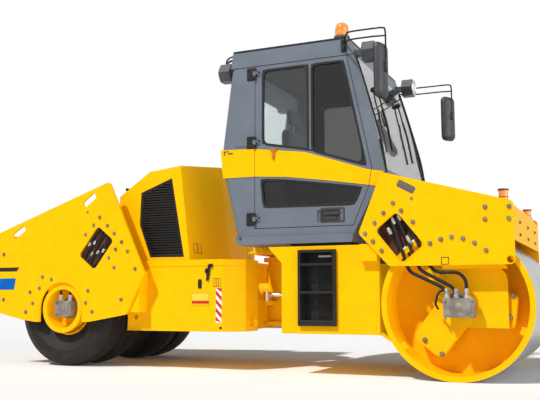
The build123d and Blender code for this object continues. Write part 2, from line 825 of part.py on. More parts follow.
roof_wall = 45.0
roof_ends = 180.0
with BuildPart() as cab_roof:
    add(cab_block(cab_side))
    add(slab(cab_roof_base, roof_height + overrun, cab_side + overrun), mode=Mode.INTERSECT)
    with BuildSketch(Plane.XY.offset(cab_roof_base)):
        with Locations(((cab_rear_x + windshield_rear_x) / 2 + roof_wall, 0)):
            Rectangle(windshield_rear_x - cab_rear_x - roof_ends,
                      2 * (cab_side - roof_wall))
    extrude(amount=roof_height - cab_roof_base - roof_wall, mode=Mode.SUBTRACT)
keep(cab_roof.part, "cab_roof")

with BuildPart(mode=Mode.PRIVATE) as windshield:
    add(cab_block(windshield_half - running_gap))
    add(cab_block(windshield_half, glass_thickness), mode=Mode.SUBTRACT)
    with BuildSketch(Plane.XZ):
        with Locations(((windshield_rear_x + cab_rear_x + cab_length + overrun) / 2,
                        (windshield_base + cab_roof_base) / 2)):
            Rectangle(cab_rear_x + cab_length + overrun - windshield_rear_x,
                      cab_roof_base - windshield_base)
    extrude(amount=cab_side, both=True, mode=Mode.INTERSECT)

with BuildPart(mode=Mode.PRIVATE) as rear_glass:
    add(cab_block(rear_window_half - running_gap))
    add(cab_block(rear_window_half, glass_thickness), mode=Mode.SUBTRACT)
    with BuildSketch(Plane.YZ.offset(cab_rear_x - overrun)):
        with Locations((0, rear_window_base + rear_window_height / 2)):
            RectangleRounded(2 * (rear_window_half - running_gap),
                             rear_window_height - 2 * running_gap, window_round)
    extrude(amount=rear_wall_share * cab_length, mode=Mode.INTERSECT)

with BuildPart() as cab_glass:
    add(windshield.part)
    add(rear_glass.part)
keep(cab_glass.part, "cab_glass")

with BuildPart() as cab_band:
    with BuildSketch(Plane.XZ):
        add(cab_outline())
        add(band_face(), mode=Mode.INTERSECT)
        add(door_face(door_gap), mode=Mode.SUBTRACT)
    extrude(amount=cab_side + band_thickness, both=True)
    add(slab(cab_floor_height, roof_height, cab_side), mode=Mode.SUBTRACT)
keep(cab_band.part, "cab_band")

# Door hinges: the cab's half holds the pin, the door's half turns on it
hinge_shares = (0.055, 0.525, 0.955)
hinge_height = 100.0
knuckle_radius = 15.0
knuckle_share = 0.3
hinge_pin_radius = 9.0
hinge_leaf = 10.0
hinge_leaf_length = 52.0
hinge_x = door_rear_x - door_gap / 2
hinge_reach = cab_side + knuckle_radius + 2 * running_gap
hinge_levels = [door_base + share * door_height for share in hinge_shares]

with BuildPart() as door_hinges:
    for name, side in sides:
        for level in hinge_levels:
            for up in (-1, 1):
                with BuildSketch(Plane.XY.offset(level + up * hinge_height / 2)):
                    with Locations((hinge_x, -side * hinge_reach)):
                        Circle(knuckle_radius)
                    with Locations((hinge_x - hinge_leaf_length / 2,
                                    -side * (cab_side + hinge_leaf / 2))):
                        Rectangle(hinge_leaf_length, hinge_leaf)
                extrude(amount=-up * knuckle_share * hinge_height)
            with BuildSketch(Plane.XY.offset(level)):
                with Locations((hinge_x, -side * hinge_reach)):
                    Circle(hinge_pin_radius)
            extrude(amount=hinge_height / 2, both=True)
keep(door_hinges.part, "door_hinges")

knuckle_half = hinge_height / 2 - knuckle_share * hinge_height - running_gap
for name, side in sides:
    with BuildPart() as door:
        with BuildSketch(side_plane(side, cab_side - door_thickness)):
            add(door_face())
            with BuildLine():
                Polyline(*placed(lower_window_shares, door_low, door_size), close=True)
            make_face(mode=Mode.SUBTRACT)
            with BuildLine():
                Polyline(*placed(upper_window_shares, door_low, door_size), close=True)
            make_face(mode=Mode.SUBTRACT)
        extrude(amount=side * door_thickness)
        with BuildSketch(side_plane(side, cab_side - door_thickness)):
            with Locations((door_rear_x + mullion_share * door_length,
                            door_base + door_height * (upper_window_shares[1][1] + 1) / 2)):
                Rectangle(mullion_width, door_height * (1 - upper_window_shares[1][1]))
        extrude(amount=side * door_thickness)
        with BuildSketch(side_plane(side, cab_side)):
            with Locations(placed((handle_at_share,), door_low, door_size)[0]):
                Rectangle(handle_length, handle_height)
        extrude(amount=-side * handle_depth, mode=Mode.SUBTRACT)
        for level in hinge_levels:
            with BuildSketch(Plane.XY.offset(level)):
                with Locations((hinge_x, -side * hinge_reach)):
                    Circle(knuckle_radius)
                with Locations((hinge_x + hinge_leaf_length / 2,
                                -side * (cab_side + hinge_leaf / 2))):
                    Rectangle(hinge_leaf_length, hinge_leaf)
                with Locations((hinge_x, -side * hinge_reach)):
                    Circle(hinge_pin_radius + pin_clearance, mode=Mode.SUBTRACT)
            extrude(amount=knuckle_half, both=True)
    keep(door.part, f"door_{name}")
    with BuildPart() as door_band:
        with BuildSketch(side_plane(side, cab_side)):
            add(band_face())
            add(door_face(), mode=Mode.INTERSECT)
        extrude(amount=side * band_thickness)
    keep(door_band.part, f"door_band_{name}")
    with BuildPart() as door_glass:
        with BuildSketch(side_plane(side, cab_side - door_thickness / 2)):
            with BuildLine():
                Polyline(*placed(lower_window_shares, door_low, door_size), close=True)
            make_face()
            with BuildLine():
                Polyline(*placed(upper_window_shares, door_low, door_size), close=True)
            make_face()
            with Locations((door_rear_x + mullion_share * door_length,
                            door_base + door_height * (upper_window_shares[1][1] + 1) / 2)):
                Rectangle(mullion_width, door_height * (1 - upper_window_shares[1][1]),
                          mode=Mode.SUBTRACT)
        extrude(amount=side * glass_thickness)
    keep(door_glass.part, f"door_glass_{name}")

# Rubber mounts between the front frame and the cab
mount_radius = 60.0
mount_inset = 110.0
mount_spacing = front_frame_length - 2 * mount_inset
with BuildPart() as cab_mounts:
    with BuildSketch(Plane.XY.offset(front_frame_top)):
        with Locations((front_frame_rear_x + mount_inset + (mount_spacing - 2 * mount_inset) / 2,
                        0)):
            with GridLocations(mount_spacing - 2 * mount_inset,
                               2 * (front_frame_side - mount_inset), 2, 2):
                Circle(mount_radius)
    extrude(amount=cab_mount_height)
keep(cab_mounts.part, "cab_mounts")

# Seat, console and steering wheel inside the cab
seat_share = 0.3935
seat_base_length = 420.0
seat_base_width = 440.0
seat_base_height = 420.0
cushion_length = 520.0
cushion_width = 520.0
cushion_thickness = 130.0
back_thickness = 110.0
back_height = 560.0
head_height = 190.0
head_width = 280.0
cushion_corner = 40.0
seat_x = cab_rear_x + seat_share * cab_length
with BuildPart() as seat_base:
    with BuildSketch(Plane.XY.offset(cab_floor_top)):
        with Locations((seat_x, 0)):
            Rectangle(seat_base_length, seat_base_width)
    extrude(amount=seat_base_height)
keep(seat_base.part, "seat_base")

cushion_base = cab_floor_top + seat_base_height
back_foot_x = seat_x - cushion_length / 2 + back_thickness
with BuildPart() as seat_cushion:
    with BuildSketch(Plane.XY.offset(cushion_base)):
        with Locations((seat_x, 0)):
            RectangleRounded(cushion_length, cushion_width, cushion_corner)
    extrude(amount=cushion_thickness)
keep(seat_cushion.part, "seat_cushion")

with BuildPart() as seat_back:
    with BuildSketch(Plane.YZ.offset(back_foot_x)):
        with Locations((0, cushion_base + cushion_thickness + back_height / 2)):
            RectangleRounded(cushion_width, back_height, cushion_corner)
        with Locations((0, cushion_base + cushion_thickness + back_height
                        + (head_height - cushion_corner) / 2)):
            RectangleRounded(head_width, head_height + cushion_corner, cushion_corner)
    extrude(amount=-back_thickness)
keep(seat_back.part, "seat_back")

console_share = 0.733
console_length = 120.0
console_width = 240.0
console_height = 620.0
wheel_ring_radius = 190.0
wheel_grip = 16.0
wheel_hub_radius = 45.0
wheel_hub_height = 40.0
wheel_tilt = 25.0
column_radius = 30.0
column_length = 110.0
wheel_spokes = 3
console_x = cab_rear_x + console_share * cab_length
wheel_plane = Plane(origin=(console_x, 0, cab_floor_top + console_height
                            + wheel_ring_radius * sin(radians(wheel_tilt))),
                    x_dir=(0, 1, 0),
                    z_dir=(-sin(radians(wheel_tilt)), 0, cos(radians(wheel_tilt))))
with BuildPart() as console:
    with BuildSketch(Plane.XY.offset(cab_floor_top)):
        with Locations((console_x, 0)):
            Rectangle(console_length, console_width)
    extrude(amount=console_height)
    with BuildSketch(wheel_plane.offset(-wheel_hub_height - running_gap)):
        Circle(column_radius)
    extrude(amount=-column_length)
keep(console.part, "console")

with BuildPart() as steering_wheel:
    with BuildSketch(wheel_plane):
        Circle(wheel_hub_radius)
    extrude(amount=wheel_hub_height, both=True)
    with BuildSketch(wheel_plane):
        Circle(wheel_ring_radius)
        Circle(wheel_ring_radius - 2 * wheel_grip, mode=Mode.SUBTRACT)
        with PolarLocations(0, wheel_spokes):
            with Locations((wheel_ring_radius / 2, 0)):
                Rectangle(wheel_ring_radius - wheel_grip, wheel_grip * 2)
    extrude(amount=wheel_grip, both=True)
keep(steering_wheel.part, "steering_wheel")

# Mirrors on tube arms, beacon and work lamps
mirror_arm_radius = 14.0
mirror_width = 190.0
mirror_height = 470.0
mirror_depth = 70.0
mirror_corner = 25.0
mirror_drop = 165.0
mirror_arm_drop = 50.0
arm_foot_share = 0.779
arm_foot_size = 50.0
mirror_bend = 42.0
near_mirror_ahead = 57.0
far_mirror_ahead = 192.0
mirror_top = roof_height - mirror_drop
mirror_arm_top = roof_height - mirror_arm_drop
arm_foot_x = cab_rear_x + arm_foot_share * cab_length
mirror_x = {"right": cab_front_x + near_mirror_ahead, "left": cab_front_x + far_mirror_ahead}
mirror_y = cab_side + mirror_overhang - mirror_width / 2
with BuildPart() as mirror_arms:
    for name, side in sides:
        with BuildSketch(side_plane(side, cab_side)):
            with Locations((arm_foot_x, mirror_arm_top)):
                Rectangle(arm_foot_size, arm_foot_size)
        extrude(amount=side * arm_foot_size)
        with BuildLine() as route:
            FilletPolyline((arm_foot_x, -side * (cab_side + arm_foot_size / 2), mirror_arm_top),
                           (arm_foot_x + mirror_width / 2, -side * mirror_y, mirror_arm_top),
                           (mirror_x[name], -side * mirror_y, mirror_arm_top),
                           (mirror_x[name], -side * mirror_y, mirror_top),
                           radius=mirror_bend)
        with BuildSketch(Plane(origin=route.line @ 0, z_dir=route.line % 0)):
            Circle(mirror_arm_radius)
        sweep(path=route.line)
keep(mirror_arms.part, "mirror_arms")

with BuildPart() as mirrors:
    for name, side in sides:
        with BuildSketch(Plane.XY.offset(mirror_top - mirror_height)):
            with Locations((mirror_x[name], -side * mirror_y)):
                RectangleRounded(mirror_depth, mirror_width, mirror_corner)
        extrude(amount=mirror_height)
keep(mirrors.part, "mirrors")

beacon_share = 0.7366
beacon_inset = 141.0
beacon_radius = 62.0
beacon_base_height = 50.0
beacon_flange = 10.0
beacon_dome_height = 130.0
beacon_dome_round = 40.0
beacon_x = cab_rear_x + beacon_share * cab_length
beacon_y = beacon_inset - cab_side
with BuildPart() as beacon_dome:
    with BuildSketch(Plane.XY.offset(roof_height + beacon_base_height)):
        with Locations((beacon_x, beacon_y)):
            Circle(beacon_radius)
    extrude(amount=beacon_dome_height)
    fillet(beacon_dome.faces().sort_by(Axis.Z)[-1].edges(), beacon_dome_round)
keep(beacon_dome.part, "beacon_dome")

lamp_box_length = 110.0
lamp_box_width = 150.0
lamp_box_height = 190.0
rear_lamp_drop = 165.0
front_lamp_drop = 125.0
lamp_from_side = 120.0
lamp_bracket = 50.0
lamp_bracket_reach = 160.0
rear_lamp_ahead = 62.0
front_lamp_share = 0.8706
rear_lamp_x = cab_rear_x + rear_lamp_ahead
front_lamp_x = cab_rear_x + front_lamp_share * cab_length
rear_lamp_z = roof_height - rear_lamp_drop
front_lamp_z = roof_height - front_lamp_drop
lamp_sides = 6
with BuildPart() as work_lamps:
    for name, side in sides:
        for lamp_x, lamp_z, ahead in ((rear_lamp_x, rear_lamp_z, -1),
                                      (front_lamp_x, front_lamp_z, 1)):
            with BuildSketch(Plane.YZ.offset(lamp_x)):
                with Locations((-side * (cab_side - lamp_from_side), lamp_z)):
                    RegularPolygon(lamp_box_height / 2, lamp_sides)
            extrude(amount=ahead * lamp_box_length)
            with BuildSketch(Plane.YZ.offset(lamp_x)):
                with Locations((-side * (cab_side - lamp_from_side), lamp_z)):
                    Rectangle(lamp_bracket, lamp_bracket)
            extrude(amount=-ahead * lamp_bracket_reach)
    add(cab_block(cab_side), mode=Mode.SUBTRACT)
    with BuildSketch(Plane.XY.offset(roof_height)):
        with Locations((beacon_x, beacon_y)):
            Circle(beacon_radius + beacon_flange)
    extrude(amount=beacon_base_height)
keep(work_lamps.part, "work_lamps")

# Rear frame: an open box for the engine, with a pocket for the trunnion, a
# shallow recess in each side and a rim above a groove round its deck
frame_back_gap = 115.0
corner_side_gap = 207.0
corner_front_gap = 52.0
corner_inset = 155.0
pocket_half = 330.0
deck_rise = 222.0
spacer_back = 210.0
rear_spacer_shares = (0.29, 0.937)
recess_depth = 12.0
recess_shares = ((0.17, 0.905), (0.23, 0.88), (0.32, 0.572), (0.138, 0.015), (0, 0.015),
                 (0, 0.245))
recess_hole_share = (0.09, 0.211)
recess_hole = 24.0
rim_height = 57.0
rim_gap = 6.0
rear_frame_back_x = tyre_x + tyre_radius + frame_back_gap
corner_side_x = pivot_x - corner_side_gap
corner_front_x = pivot_x - corner_front_gap
corner_front_y = rear_frame_side - corner_inset
rear_deck = trunnion_z + deck_rise
rear_plan = [
    (rear_frame_back_x, -rear_frame_side), (corner_side_x, -rear_frame_side),
    (corner_front_x, -corner_front_y), (corner_front_x, -pocket_half),
    (bearing_x, -pocket_half), (bearing_x, pocket_half),
    (corner_front_x, pocket_half), (corner_front_x, corner_front_y),
    (corner_side_x, rear_frame_side), (rear_frame_back_x, rear_frame_side),
]
deck_levels = ((ground_clearance, rear_deck, 0), (rear_deck, rear_deck + rim_gap, rim_gap),
               (rear_deck + rim_gap, rear_deck + rim_gap + rim_height, 0))
side_low = (rear_frame_back_x, ground_clearance)
side_size = (corner_side_x - rear_frame_back_x, rear_deck - ground_clearance)
rear_spacer_low, rear_spacer_high = [ground_clearance + share * side_size[1]
                                     for share in rear_spacer_shares]
with BuildPart() as rear_frame:
    for low, high, inset in deck_levels:
        with BuildSketch(Plane.XY.offset(low)):
            with BuildLine():
                Polyline(*rear_plan, close=True)
            make_face()
            if inset:
                offset(amount=-inset, kind=Kind.INTERSECTION)
        extrude(amount=high - low)
    with BuildSketch(Plane.XY.offset(ground_clearance + wall)):
        with BuildLine():
            Polyline(*rear_plan, close=True)
        make_face()
        offset(amount=-plate_thickness, kind=Kind.INTERSECTION)
    extrude(amount=deck_levels[-1][1] - ground_clearance, mode=Mode.SUBTRACT)
    with BuildSketch(Plane.XY.offset(rear_deck)):
        with Locations((rear_frame_back_x, 0)):
            Rectangle(2 * plate_thickness, 2 * (rear_frame_side - plate_thickness))
    extrude(amount=rim_gap + rim_height, mode=Mode.SUBTRACT)
    with BuildSketch(Plane.YZ.offset(bearing_x - overrun)):
        with Locations((0, trunnion_z)):
            Circle(trunnion_radius + pin_clearance)
    extrude(amount=2 * overrun, mode=Mode.SUBTRACT)
    for name, side in sides:
        with BuildSketch(side_plane(side, rear_frame_side)):
            with BuildLine():
                Polyline(*placed(recess_shares, side_low, side_size), close=True)
            make_face()
        extrude(amount=-side * recess_depth, mode=Mode.SUBTRACT)
        with BuildSketch(side_plane(side, rear_frame_side)):
            with Locations(placed((recess_hole_share,), side_low, side_size)[0]):
                Circle(recess_hole)
        extrude(amount=-side * plate_thickness, mode=Mode.SUBTRACT)
        with BuildSketch(side_plane(side, rear_frame_side - recess_depth)):
            with Locations((rear_frame_back_x + spacer_back / 2,
                            (rear_spacer_low + rear_spacer_high) / 2)):
                Rectangle(spacer_back, rear_spacer_high - rear_spacer_low)
        extrude(amount=side * (plate_inner - rear_frame_side + recess_depth))
keep(rear_frame.part, "rear_frame")

# Rear side plates, with the wheel arch, two slots and a window
rear_plate_ahead = 945.0
rear_plate_rise = 71.0
rear_plate_over = 231.0
rear_tail_share = 0.623
rear_peak_share = 0.782
rear_plate_length = tail_overhang + rear_plate_ahead
rear_plate_base = ground_clearance + rear_plate_rise
rear_plate_height = tyre_diameter + rear_plate_over
rear_plate_low = (tail_x, rear_plate_base)
rear_plate_size = (rear_plate_length, rear_plate_height)
rear_plate_shares = ((0, 0.092), (0.108, 0.06), (0.256, 0.015), (0.344, 0), (0.674, 0.005),
                     (0.895, 0.059), (1, 0.346), (rear_peak_share, 1), (0, rear_tail_share))
rear_window_tilt = 52.0
rear_plate_window_share = (0.71, 0.528)
rear_slot_places = ((0.663, 0.875, 36), (0.216, 0.662, 32))
arch_radius = 252.0
with BuildPart() as rear_plates:
    for name, side in sides:
        with BuildSketch(side_plane(side, plate_inner)) as rear_plate_face:
            with BuildLine():
                Polyline(*placed(rear_plate_shares, rear_plate_low, rear_plate_size),
                         close=True)
            make_face()
            fillet(rear_plate_face.vertices().group_by(Axis.X)[-1]
                   + rear_plate_face.vertices().group_by(Axis.Z)[-1]
                   + rear_plate_face.vertices().group_by(Axis.X)[0], plate_corner)
            with Locations((tyre_x, tyre_radius)):
                Circle(arch_radius, mode=Mode.SUBTRACT)
            with Locations((tyre_x, tyre_radius / 2)):
                Rectangle(2 * arch_radius, tyre_radius, mode=Mode.SUBTRACT)
            with Locations(placed((rear_plate_window_share,), rear_plate_low,
                                  rear_plate_size)[0]):
                RectangleRounded(window_length, window_width, window_corner,
                                 rotation=rear_window_tilt, mode=Mode.SUBTRACT)
            for across, up, tilt in rear_slot_places:
                with Locations(placed(((across, up),), rear_plate_low, rear_plate_size)[0]):
                    RectangleRounded(slot_length, slot_width, slot_corner,
                                     rotation=tilt, mode=Mode.SUBTRACT)
        extrude(amount=side * plate_thickness)
keep(rear_plates.part, "rear_plates")

# Rear tank and tail between the rear plates
hood_behind = 528.0
hood_to_tank = 68.0
tank_to_tail = 325.0
tail_inset = 20.0
rear_tank_front_drop = 170.0
rear_tank_back_drop = 162.0
tail_drop = 20.0
tyre_clearance = 80.0
tail_thickness = 140.0
tail_rise = 219.0
hood_rear_x = tyre_x + hood_behind
rear_tank_front_x = hood_rear_x - hood_to_tank
rear_tank_back_x = tail_x + tank_to_tail
tank_floor = tyre_diameter + tyre_clearance
rear_slope = ((1 - rear_tail_share) * rear_plate_height
              / (rear_peak_share * rear_plate_length))


def rear_top(x):
    """Height of the rear plates' upper edge at a place along the machine."""
    return rear_plate_base + rear_tail_share * rear_plate_height + rear_slope * (x - tail_x)


tank_front_top = rear_top(rear_tank_front_x) - rear_tank_front_drop
with BuildPart() as rear_tank:
    with BuildSketch(Plane.XZ):
        with BuildLine():
            Polyline((rear_tank_back_x, tank_floor),
                     (rear_tank_front_x, tank_floor),
                     (rear_tank_front_x, tank_front_top),
                     (rear_tank_back_x, rear_top(rear_tank_back_x) - rear_tank_back_drop),
                     close=True)
        make_face()
    extrude(amount=plate_inner, both=True)
keep(rear_tank.part, "rear_tank")

tail_base = rear_plate_base + tail_rise
tail_front_x = tail_x + tail_inset + tail_thickness
with BuildPart() as tail_beam:
    with BuildSketch(Plane.XZ):
        with BuildLine():
            Polyline((tail_x + tail_inset, tail_base), (tail_front_x, tail_base),
                     (tail_front_x, rear_top(tail_front_x) - tail_drop),
                     (tail_x + tail_inset, rear_top(tail_x + tail_inset) - tail_drop),
                     close=True)
        make_face()
    extrude(amount=plate_inner, both=True)
keep(tail_beam.part, "tail_beam")

# Wheels: twin smooth tyres on each side, their rims and the hub between them
rim_radius = 254.0
rim_flange = 14.0
tread_half = 115.0
shoulder = 38.0
crown_drop = 13.0
bead_half = 95.0
disc_thickness = 16.0
hub_radius = 120.0
for name, side in sides:
    outer_middle = tyre_side - tyre_width / 2
    inner_middle = outer_middle - tyre_width - tyre_gap
    axle = Axis((tyre_x, 0, tyre_radius), (0, 1, 0))
    with BuildPart() as tyres:
        with BuildSketch(Plane.YZ.offset(tyre_x)):
            for middle in (outer_middle, inner_middle):
                y = -side * middle
                with BuildLine():
                    Polyline((y - bead_half, tyre_radius + rim_radius),
                             (y - tyre_width / 2, tyre_radius + (rim_radius + tyre_radius) / 2),
                             (y - tyre_width / 2, tyre_diameter - 2 * shoulder),
                             (y - tread_half, tyre_diameter - crown_drop),
                             (y, tyre_diameter),
                             (y + tread_half, tyre_diameter - crown_drop),
                             (y + tyre_width / 2, tyre_diameter - 2 * shoulder),
                             (y + tyre_width / 2, tyre_radius + (rim_radius + tyre_radius) / 2),
                             (y + bead_half, tyre_radius + rim_radius), close=True)
                make_face()
        revolve(axis=axle)
    keep(tyres.part, f"tyres_{name}")
    with BuildPart() as rims:
        with BuildSketch(Plane.YZ.offset(tyre_x)):
            for middle in (outer_middle, inner_middle):
                y = -side * middle
                with Locations((y, tyre_radius + rim_radius - rim_flange / 2)):
                    Rectangle(2 * bead_half, rim_flange)
                with Locations((y, tyre_radius + (rim_radius - rim_flange + hub_radius) / 2)):
                    Rectangle(disc_thickness, rim_radius - rim_flange - hub_radius
                              + 2 * rim_flange)
            with Locations((-side * (outer_middle + inner_middle) / 2,
                            tyre_radius + hub_radius / 2)):
                Rectangle(outer_middle - inner_middle + disc_thickness, hub_radius)
        revolve(axis=axle)
    keep(rims.part, f"rims_{name}")

# Arms from the rear plates to the wheel hubs: a ring with a cup that reaches
# into the rim, and the motors in the cups
rear_arm_drop = 102.0
rear_arm_half = 170.0
arm_ring_radius = 232.0
cup_bore = 185.0
cup_wall = 12.0
cup_to_rim = 31.0
wheel_spindle_radius = 65.0
wheel_motor_radius = 95.0
wheel_motor_foot = 60.0
wheel_motor_length = 190.0
wheel_motor_height = 150.0
wheel_motor_depth = 80.0
rear_arm_top = tyre_diameter - rear_arm_drop
rim_face = outer_middle + disc_thickness / 2
cup_floor_y = rim_face + cup_to_rim
with BuildPart() as wheel_arms:
    for name, side in sides:
        with BuildSketch(side_plane(side, arm_inner)):
            with Locations((tyre_x, tyre_radius)):
                Circle(arm_ring_radius)
            with Locations((tyre_x, (tyre_radius + rear_arm_top) / 2)):
                Rectangle(2 * rear_arm_half, rear_arm_top - tyre_radius)
            with Locations((tyre_x, tyre_radius)):
                Circle(cup_bore, mode=Mode.SUBTRACT)
        extrude(amount=side * arm_thickness)
        with BuildSketch(side_plane(side, cup_floor_y)):
            with Locations((tyre_x, tyre_radius)):
                Circle(cup_bore + cup_wall)
                Circle(cup_bore, mode=Mode.SUBTRACT)
        extrude(amount=side * (arm_inner - cup_floor_y))
        with BuildSketch(side_plane(side, cup_floor_y)):
            with Locations((tyre_x, tyre_radius)):
                Circle(cup_bore + cup_wall)
        extrude(amount=side * cup_wall)
        with BuildSketch(side_plane(side, cup_floor_y)):
            with Locations((tyre_x, tyre_radius)):
                Circle(wheel_spindle_radius)
        extrude(amount=-side * (cup_to_rim - running_gap))
keep(wheel_arms.part, "wheel_arms")

with BuildPart() as wheel_motors:
    for name, side in sides:
        with BuildSketch(side_plane(side, cup_floor_y + cup_wall)):
            with Locations((tyre_x, tyre_radius)):
                Circle(wheel_motor_radius)
        extrude(amount=side * wheel_motor_foot)
        with BuildSketch(side_plane(side, cup_floor_y + cup_wall + wheel_motor_foot)):
            with Locations((tyre_x, tyre_radius)):
                Rectangle(wheel_motor_length, wheel_motor_height)
        extrude(amount=side * wheel_motor_depth)
keep(wheel_motors.part, "wheel_motors")

# Short hoses from each wheel motor to the wall of its cup
wheel_hose_radius = 12.0
wheel_hose_spread = 55.0
wheel_hose_y = cup_floor_y + cup_wall + wheel_motor_foot + wheel_motor_depth / 2
wheel_hose_base = tyre_radius + wheel_motor_height / 2
wheel_hose_length = (sqrt(cup_bore ** 2 - (wheel_hose_spread + wheel_hose_radius) ** 2)
                     - wheel_motor_height / 2 - running_gap)
with BuildPart() as wheel_hoses:
    for name, side in sides:
        for across in (-wheel_hose_spread, wheel_hose_spread):
            with BuildSketch(Plane.XY.offset(wheel_hose_base)):
                with Locations((tyre_x + across, -side * wheel_hose_y)):
                    Circle(wheel_hose_radius)
            extrude(amount=wheel_hose_length)
keep(wheel_hoses.part, "wheel_hoses")

# Engine, one plain block on the rear frame's floor
hood_length = 676.0
engine_rear_share = 0.33
engine_front_share = 1.12
engine_width = 560.0
engine_height = 900.0
engine_rear_x, engine_front_x = [hood_rear_x + share * hood_length
                                 for share in (engine_rear_share, engine_front_share)]
with BuildPart() as engine:
    with BuildSketch(Plane.XY.offset(ground_clearance + wall)):
        with Locations(((engine_rear_x + engine_front_x) / 2, 0)):
            Rectangle(engine_front_x - engine_rear_x, engine_width)
    extrude(amount=engine_height)
keep(engine.part, "engine")

# Engine hood: faceted sheet cover whose top and front fall away to both sides,
# so that the cab can swing past it, open below and behind
hood_height = 953.0
hood_crown = 0.12
hood_sweep = 0.07
hood_tail_share = -0.148
hood_tail_top = 0.654
hood_crest_share = 0.5
hood_crest_top = 0.961
hood_foot_share = 1.1997
hood_under_share = -0.144
hood_base = rear_deck + running_gap
hood_low = (hood_rear_x, hood_base)
hood_size = (hood_length, hood_height)
hood_shares = ((hood_tail_share, hood_under_share), (hood_tail_share, hood_tail_top),
               (hood_crest_share, hood_crest_top), (1, 1),
               (hood_foot_share, hood_under_share))
grille_shares = ((0.3565, 0.752), (0.8639, 0.8835), (1.074, 0.0963), (0.5266, 0.0994),
                 (0.3417, 0.429))
grille_middle_share = (0.7, 0.48)
grille_lap = 15.0
grille_margin = 22.0
grille_sheet = 8.0
grille_pitch = 24.0
grille_slot = 11.0
grille_rows = 36
hood_hinge_behind = 43.0
hood_hinge_rise = 165.4
hood_hinge_y = 500.0
hood_lug_half = 20.0
hood_lug_gap = 2.0
hood_ear = 18.0
hood_eye_radius = 16.0
hood_pin_radius = 8.0
lug_root = 75.0
lug_tip = 115.0
lug_height = 15.0
ear_foot = 90.0
ear_shoulder = 12.0
hood_slope = ((hood_crest_top - hood_tail_top) * hood_height
              / ((hood_crest_share - hood_tail_share) * hood_length))
hood_hinge_x = hood_rear_x - hood_hinge_behind
hood_hinge_z = tank_front_top + hood_hinge_rise


def hood_profile(inset):
    """Side profile of the hood, run out below and behind, moved inward by a distance."""
    with BuildSketch() as face:
        with BuildLine():
            Polyline(*placed(hood_shares, hood_low, hood_size), close=True)
        make_face()
        if inset:
            offset(amount=-inset, kind=Kind.INTERSECTION)
    return face.sketch_local


def hood_block(inset, reach):
    """The hood's faceted form, moved inward by a distance and run out by a reach."""
    half = hood_side - inset
    middle = Plane(origin=(hood_sweep * hood_side, 0, hood_crown * hood_side),
                   x_dir=(1, 0, 0), z_dir=(0, -1, 0))
    with BuildPart() as block:
        for name, side in sides:
            with BuildSketch(middle):
                add(hood_profile(inset))
            extrude(amount=hypot(half, hood_sweep * half, hood_crown * half),
                    dir=(-hood_sweep, -side, -hood_crown))
        with BuildSketch(Plane.XY.offset(hood_base - reach)):
            with Locations((hood_rear_x - reach + hood_length, 0)):
                Rectangle(2 * hood_length, 2 * half)
        extrude(amount=2 * hood_height, mode=Mode.INTERSECT)
    return block.part


def grille_face(grow):
    """Outline of a hood grille as a face, moved outward by a distance."""
    with BuildSketch() as face:
        with BuildLine():
            Polyline(*placed(grille_shares, hood_low, hood_size), close=True)
        make_face()
        if grow:
            offset(amount=grow, kind=Kind.INTERSECTION)
    return face.sketch_local


def hood_slope_top(x):
    """Height of the hood's rear slope over the outer face of its lugs."""
    inward = hood_side - hood_hinge_y - hood_lug_half
    along = x - hood_sweep * inward - hood_rear_x - hood_tail_share * hood_length
    return (hood_base + hood_tail_top * hood_height + hood_slope * along
            + hood_crown * inward)


with BuildPart() as hood:
    add(hood_block(0, 0))
    add(hood_block(hood_sheet, overrun), mode=Mode.SUBTRACT)
    for name, side in sides:
        with BuildSketch(side_plane(side, hood_side)):
            add(grille_face(0))
        extrude(amount=-side * 2 * hood_sheet, mode=Mode.SUBTRACT)
        root_x = hood_hinge_x + lug_root
        tip_x = hood_hinge_x + lug_tip
        with BuildSketch(side_plane(side, hood_hinge_y - hood_lug_half)):
            with BuildLine():
                Polyline((hood_hinge_x, hood_hinge_z - hood_eye_radius),
                         (root_x, hood_slope_top(root_x) - hood_sheet / 2),
                         (tip_x, hood_slope_top(tip_x) - hood_sheet / 2),
                         (tip_x, hood_slope_top(tip_x) + lug_height),
                         (hood_hinge_x, hood_hinge_z + hood_eye_radius), close=True)
            make_face()
            with Locations((hood_hinge_x, hood_hinge_z)):
                Circle(hood_eye_radius)
                Circle(hood_pin_radius + pin_clearance, mode=Mode.SUBTRACT)
        extrude(amount=side * 2 * hood_lug_half)
keep(hood.part, "hood")

with BuildPart() as hood_grilles:
    for name, side in sides:
        inner = hood_side - hood_sheet - grille_sheet
        with BuildSketch(side_plane(side, inner)):
            add(grille_face(grille_lap))
        extrude(amount=side * grille_sheet)
        with BuildSketch(side_plane(side, inner)):
            with Locations(placed((grille_middle_share,), hood_low, hood_size)[0]):
                with GridLocations(grille_pitch, grille_pitch, 1, grille_rows):
                    Rectangle(hood_length, grille_slot)
            add(grille_face(-grille_margin), mode=Mode.INTERSECT)
        extrude(amount=side * grille_sheet, mode=Mode.SUBTRACT)
keep(hood_grilles.part, "hood_grilles")

ear_low = hood_hinge_y - hood_lug_half - hood_lug_gap - hood_ear
ear_high = hood_hinge_y + hood_lug_half + hood_lug_gap
with BuildPart() as hood_hinges:
    for name, side in sides:
        for start in (ear_low, ear_high):
            with BuildSketch(side_plane(side, start)):
                with BuildLine():
                    Polyline((rear_tank_front_x, tank_front_top - ear_foot),
                             (hood_hinge_x + ear_shoulder, tank_front_top),
                             (hood_hinge_x + ear_shoulder, hood_hinge_z),
                             (hood_hinge_x, hood_hinge_z + hood_eye_radius),
                             (rear_tank_front_x, tank_front_top), close=True)
                make_face()
                with Locations((hood_hinge_x, hood_hinge_z)):
                    Circle(hood_eye_radius)
            extrude(amount=side * hood_ear)
        with BuildSketch(side_plane(side, ear_low)):
            with Locations((hood_hinge_x, hood_hinge_z)):
                Circle(hood_pin_radius)
        extrude(amount=side * (ear_high + hood_ear - ear_low))
keep(hood_hinges.part, "hood_hinges")
